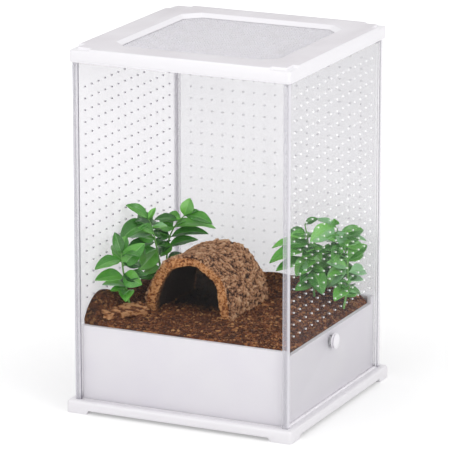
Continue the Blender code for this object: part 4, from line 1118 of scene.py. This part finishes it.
class TERRARIUM_OT_plants(bpy.types.Operator):
    """Five leafy stems"""
    bl_idname = "terrarium.plants"
    bl_label = "Plants"

    def execute(self, context):
        colours = context.scene.terrarium_colours
        blade = make_material("leaf_blade", leaf_blade, colours)
        stalk = make_material("green_stem", green_stem, colours)
        chance = random.Random(SEED)
        pattern = self.leaf_pattern(context)
        for name, (stem, leaves) in PLANTS.items():
            parts = [self.stem(stem, stalk)]
            blades = [
                (share, self.point(tip), width * LEAF_WIDTH_SHARE * MM, tilt, chance.uniform(0.15, 0.95))
                for share, tip, width, tilt in leaves
            ]
            blades += self.filling(stem, FILLING_LEAVES[name], chance)
            for share, tip, width, tilt, tone in blades:
                leaf = self.leaf(pattern, self.on_stem(stem, share), tip, width, tilt, chance)
                store(leaf, "tone", [tone + PALER.get(name, 0.0)] * len(leaf.data.vertices))
                leaf.data.materials.append(blade)
                use_modifier(leaf, "SOLIDIFY", thickness=context.scene.terrarium_sizes.leaf_wall, offset=0)
                parts.append(leaf)
            parts.reverse()
            select_only(*parts)
            bpy.ops.object.join()
            plant = context.object
            smooth(plant, 50)
            finish_piece(plant, name.replace("plant", "sprig"), "root", list(plant.data.materials), [name])
        bpy.data.objects.remove(pattern, do_unlink=True)
        return {"FINISHED"}

    def filling(self, stem, count, chance):
        """Smaller leaves between the main ones, all round the stem, made darker as painted shade inside the clump."""
        made = []
        while len(made) < count:
            share = chance.uniform(0.15, 0.85)
            base = self.on_stem(stem, share)
            heading = chance.uniform(0, 2 * math.pi)
            length = chance.uniform(14, 23) * MM
            toward = Vector((math.cos(heading), math.sin(heading), chance.uniform(-0.35, 0.5)))
            tip = base + toward.normalized() * length
            clear_of_walls = max(abs(tip.x), abs(tip.y)) < SMALL_LEAF_REACH
            beside = abs(tip.x - BARK_X) - BARK_HALF > BARK_CLEAR_SIDE
            beyond = abs(tip.y - BARK_FRONT - BARK_LENGTH / 2) - BARK_LENGTH / 2 > BARK_CLEAR_END
            clear_of_bark = beside or beyond or tip.z > BARK_CLEAR_TOP
            if clear_of_walls and clear_of_bark and tip.z > soil_height(tip.x, tip.y) + 3 * MM:
                width = length * chance.uniform(0.42, 0.58)
                # A low tone makes these leaves darker: painted shade
                made.append((share, tip, width, chance.uniform(10, 75), chance.uniform(0.0, 0.6)))
        return made

    def point(self, place):
        """A point of the plants' table, in metres."""
        return Vector((place[0] * MM, place[1] * MM, SOIL_LEVEL + place[2] * MM))

    def on_stem(self, stem, share):
        """Point on the curve through a stem's foot, middle and tip."""
        foot, middle, tip = [self.point(place) for place in stem]
        foot.z = soil_height(foot.x, foot.y)
        at_foot = 2 * (share - 0.5) * (share - 1)
        at_middle = -4 * share * (share - 1)
        return foot * at_foot + middle * at_middle + tip * (2 * share * (share - 0.5))

    def stem(self, stem, stalk):
        """A tapered stem with seven swollen joints."""
        curve = bpy.data.curves.new("stem", "CURVE")
        curve.dimensions = "3D"
        curve.bevel_depth = STEM_RADIUS
        curve.bevel_resolution = 3
        curve.use_fill_caps = True
        spline = curve.splines.new("POLY")
        steps = 40
        spline.points.add(steps)
        for number, point in enumerate(spline.points):
            share = number / steps
            place = self.on_stem(stem, share)
            if number == 0:
                # The foot stands in the soil
                place.z -= 6 * MM
            joint = 0.22 * max(0.0, math.cos(share * 2 * math.pi * 7)) ** 6
            point.co = (*place, 1.0)
            point.radius = (1.15 - 0.6 * share) * (1 + joint)
        new_object("stem", curve)
        bpy.ops.object.convert(target="MESH")
        made = bpy.context.object
        made.data.materials.clear()
        made.data.materials.append(stalk)
        return made

    def leaf_pattern(self, context):
        """The flat grid that every leaf is shaped from, with its UV map along and across the blade."""
        nothing_selected()
        bpy.ops.mesh.primitive_grid_add(x_subdivisions=16, y_subdivisions=8, size=1, calc_uvs=True)
        return context.object

    def leaf(self, pattern, base, tip, width, tilt, chance):
        """One blade: a short stalk, an ovate outline, folded along its midrib, bowed, wavy at its edge."""
        forward = (tip - base).normalized()
        length = (tip - base).length
        tilt = math.radians(tilt)
        facing = Vector((0, 0, math.cos(tilt))) + FRONT_LIGHT * math.sin(tilt)
        side = forward.cross(facing).normalized()
        up = side.cross(forward)
        fold = chance.uniform(0.28, 0.46)
        bow = chance.uniform(0.07, 0.13)
        wave = chance.uniform(0, 6.28)
        twist = chance.uniform(-0.25, 0.25)
        made = new_object("leaf", pattern.data.copy())
        for vert in made.data.vertices:
            share = vert.co.x + 0.5
            across = vert.co.y * 2
            blade = max((share - 0.08) / 0.92, 0.0)
            half = max(width / 2 * math.sin(math.pi * blade ** 0.82) ** 0.74, LEAF_STALK * (1 - 0.7 * share))
            lift = bow * length * 4 * share * (1 - share) + fold * half * abs(across)
            ripple = 0.05 * half * math.sin(share * 15 + wave) * abs(across) ** 2
            turn = twist * share * across * half
            place = base + forward * (share * length) + side * (across * half) + up * (lift + ripple + turn)
            place.x = max(-LEAF_REACH, min(LEAF_REACH, place.x))
            place.y = max(-LEAF_REACH, min(LEAF_REACH, place.y))
            vert.co = place
        made.data.update()
        return made


class TERRARIUM_OT_fittings(bpy.types.Operator):
    """Hinge pins, magnets and screws keep their solids and get their metal"""
    bl_idname = "terrarium.fittings"
    bl_label = "Metal fittings"

    def execute(self, context):
        steel = make_material("stainless_steel", stainless_steel, context.scene.terrarium_colours)
        for node in (
            "hinge_pin_front", "hinge_pin_back", "knob_magnet", "tray_magnet", "retainer_screw_front",
            "retainer_screw_back", "retainer_screw_left", "retainer_screw_right",
        ):
            paint_node(node, steel)
        return {"FINISHED"}


STEPS = (
    TERRARIUM_OT_stage, TERRARIUM_OT_mouldings, TERRARIUM_OT_knob, TERRARIUM_OT_clear_parts, TERRARIUM_OT_lid_mesh,
    TERRARIUM_OT_soil, TERRARIUM_OT_bark, TERRARIUM_OT_plants, TERRARIUM_OT_fittings,
)


class TERRARIUM_PT_panel(bpy.types.Panel):
    """Sidebar panel with the sizes, the colours and a button for each step"""
    bl_idname = "TERRARIUM_PT_panel"
    bl_label = "Mini terrarium"
    bl_space_type = "VIEW_3D"
    bl_region_type = "UI"
    bl_category = "Terrarium"

    def draw(self, context):
        for step in STEPS:
            self.layout.operator(step.bl_idname)
        for group in (context.scene.terrarium_sizes, context.scene.terrarium_colours):
            box = self.layout.box()
            for name in group.__annotations__:
                box.prop(group, name)


def register():
    for made in (TerrariumSizes, TerrariumColours, *STEPS, TERRARIUM_PT_panel):
        bpy.utils.register_class(made)
    bpy.types.Scene.terrarium_sizes = bpy.props.PointerProperty(type=TerrariumSizes)
    bpy.types.Scene.terrarium_colours = bpy.props.PointerProperty(type=TerrariumColours)


def unregister():
    del bpy.types.Scene.terrarium_colours
    del bpy.types.Scene.terrarium_sizes
    for made in (TERRARIUM_PT_panel, *reversed(STEPS), TerrariumColours, TerrariumSizes):
        bpy.utils.unregister_class(made)


def main():
    """Builds every step in order."""
    register()
    bpy.ops.terrarium.stage()
    bpy.ops.terrarium.mouldings()
    bpy.ops.terrarium.knob()
    bpy.ops.terrarium.clear_parts()
    bpy.ops.terrarium.lid_mesh()
    bpy.ops.terrarium.soil()
    bpy.ops.terrarium.bark()
    bpy.ops.terrarium.plants()
    bpy.ops.terrarium.fittings()


if __name__ == "__main__":
    main()
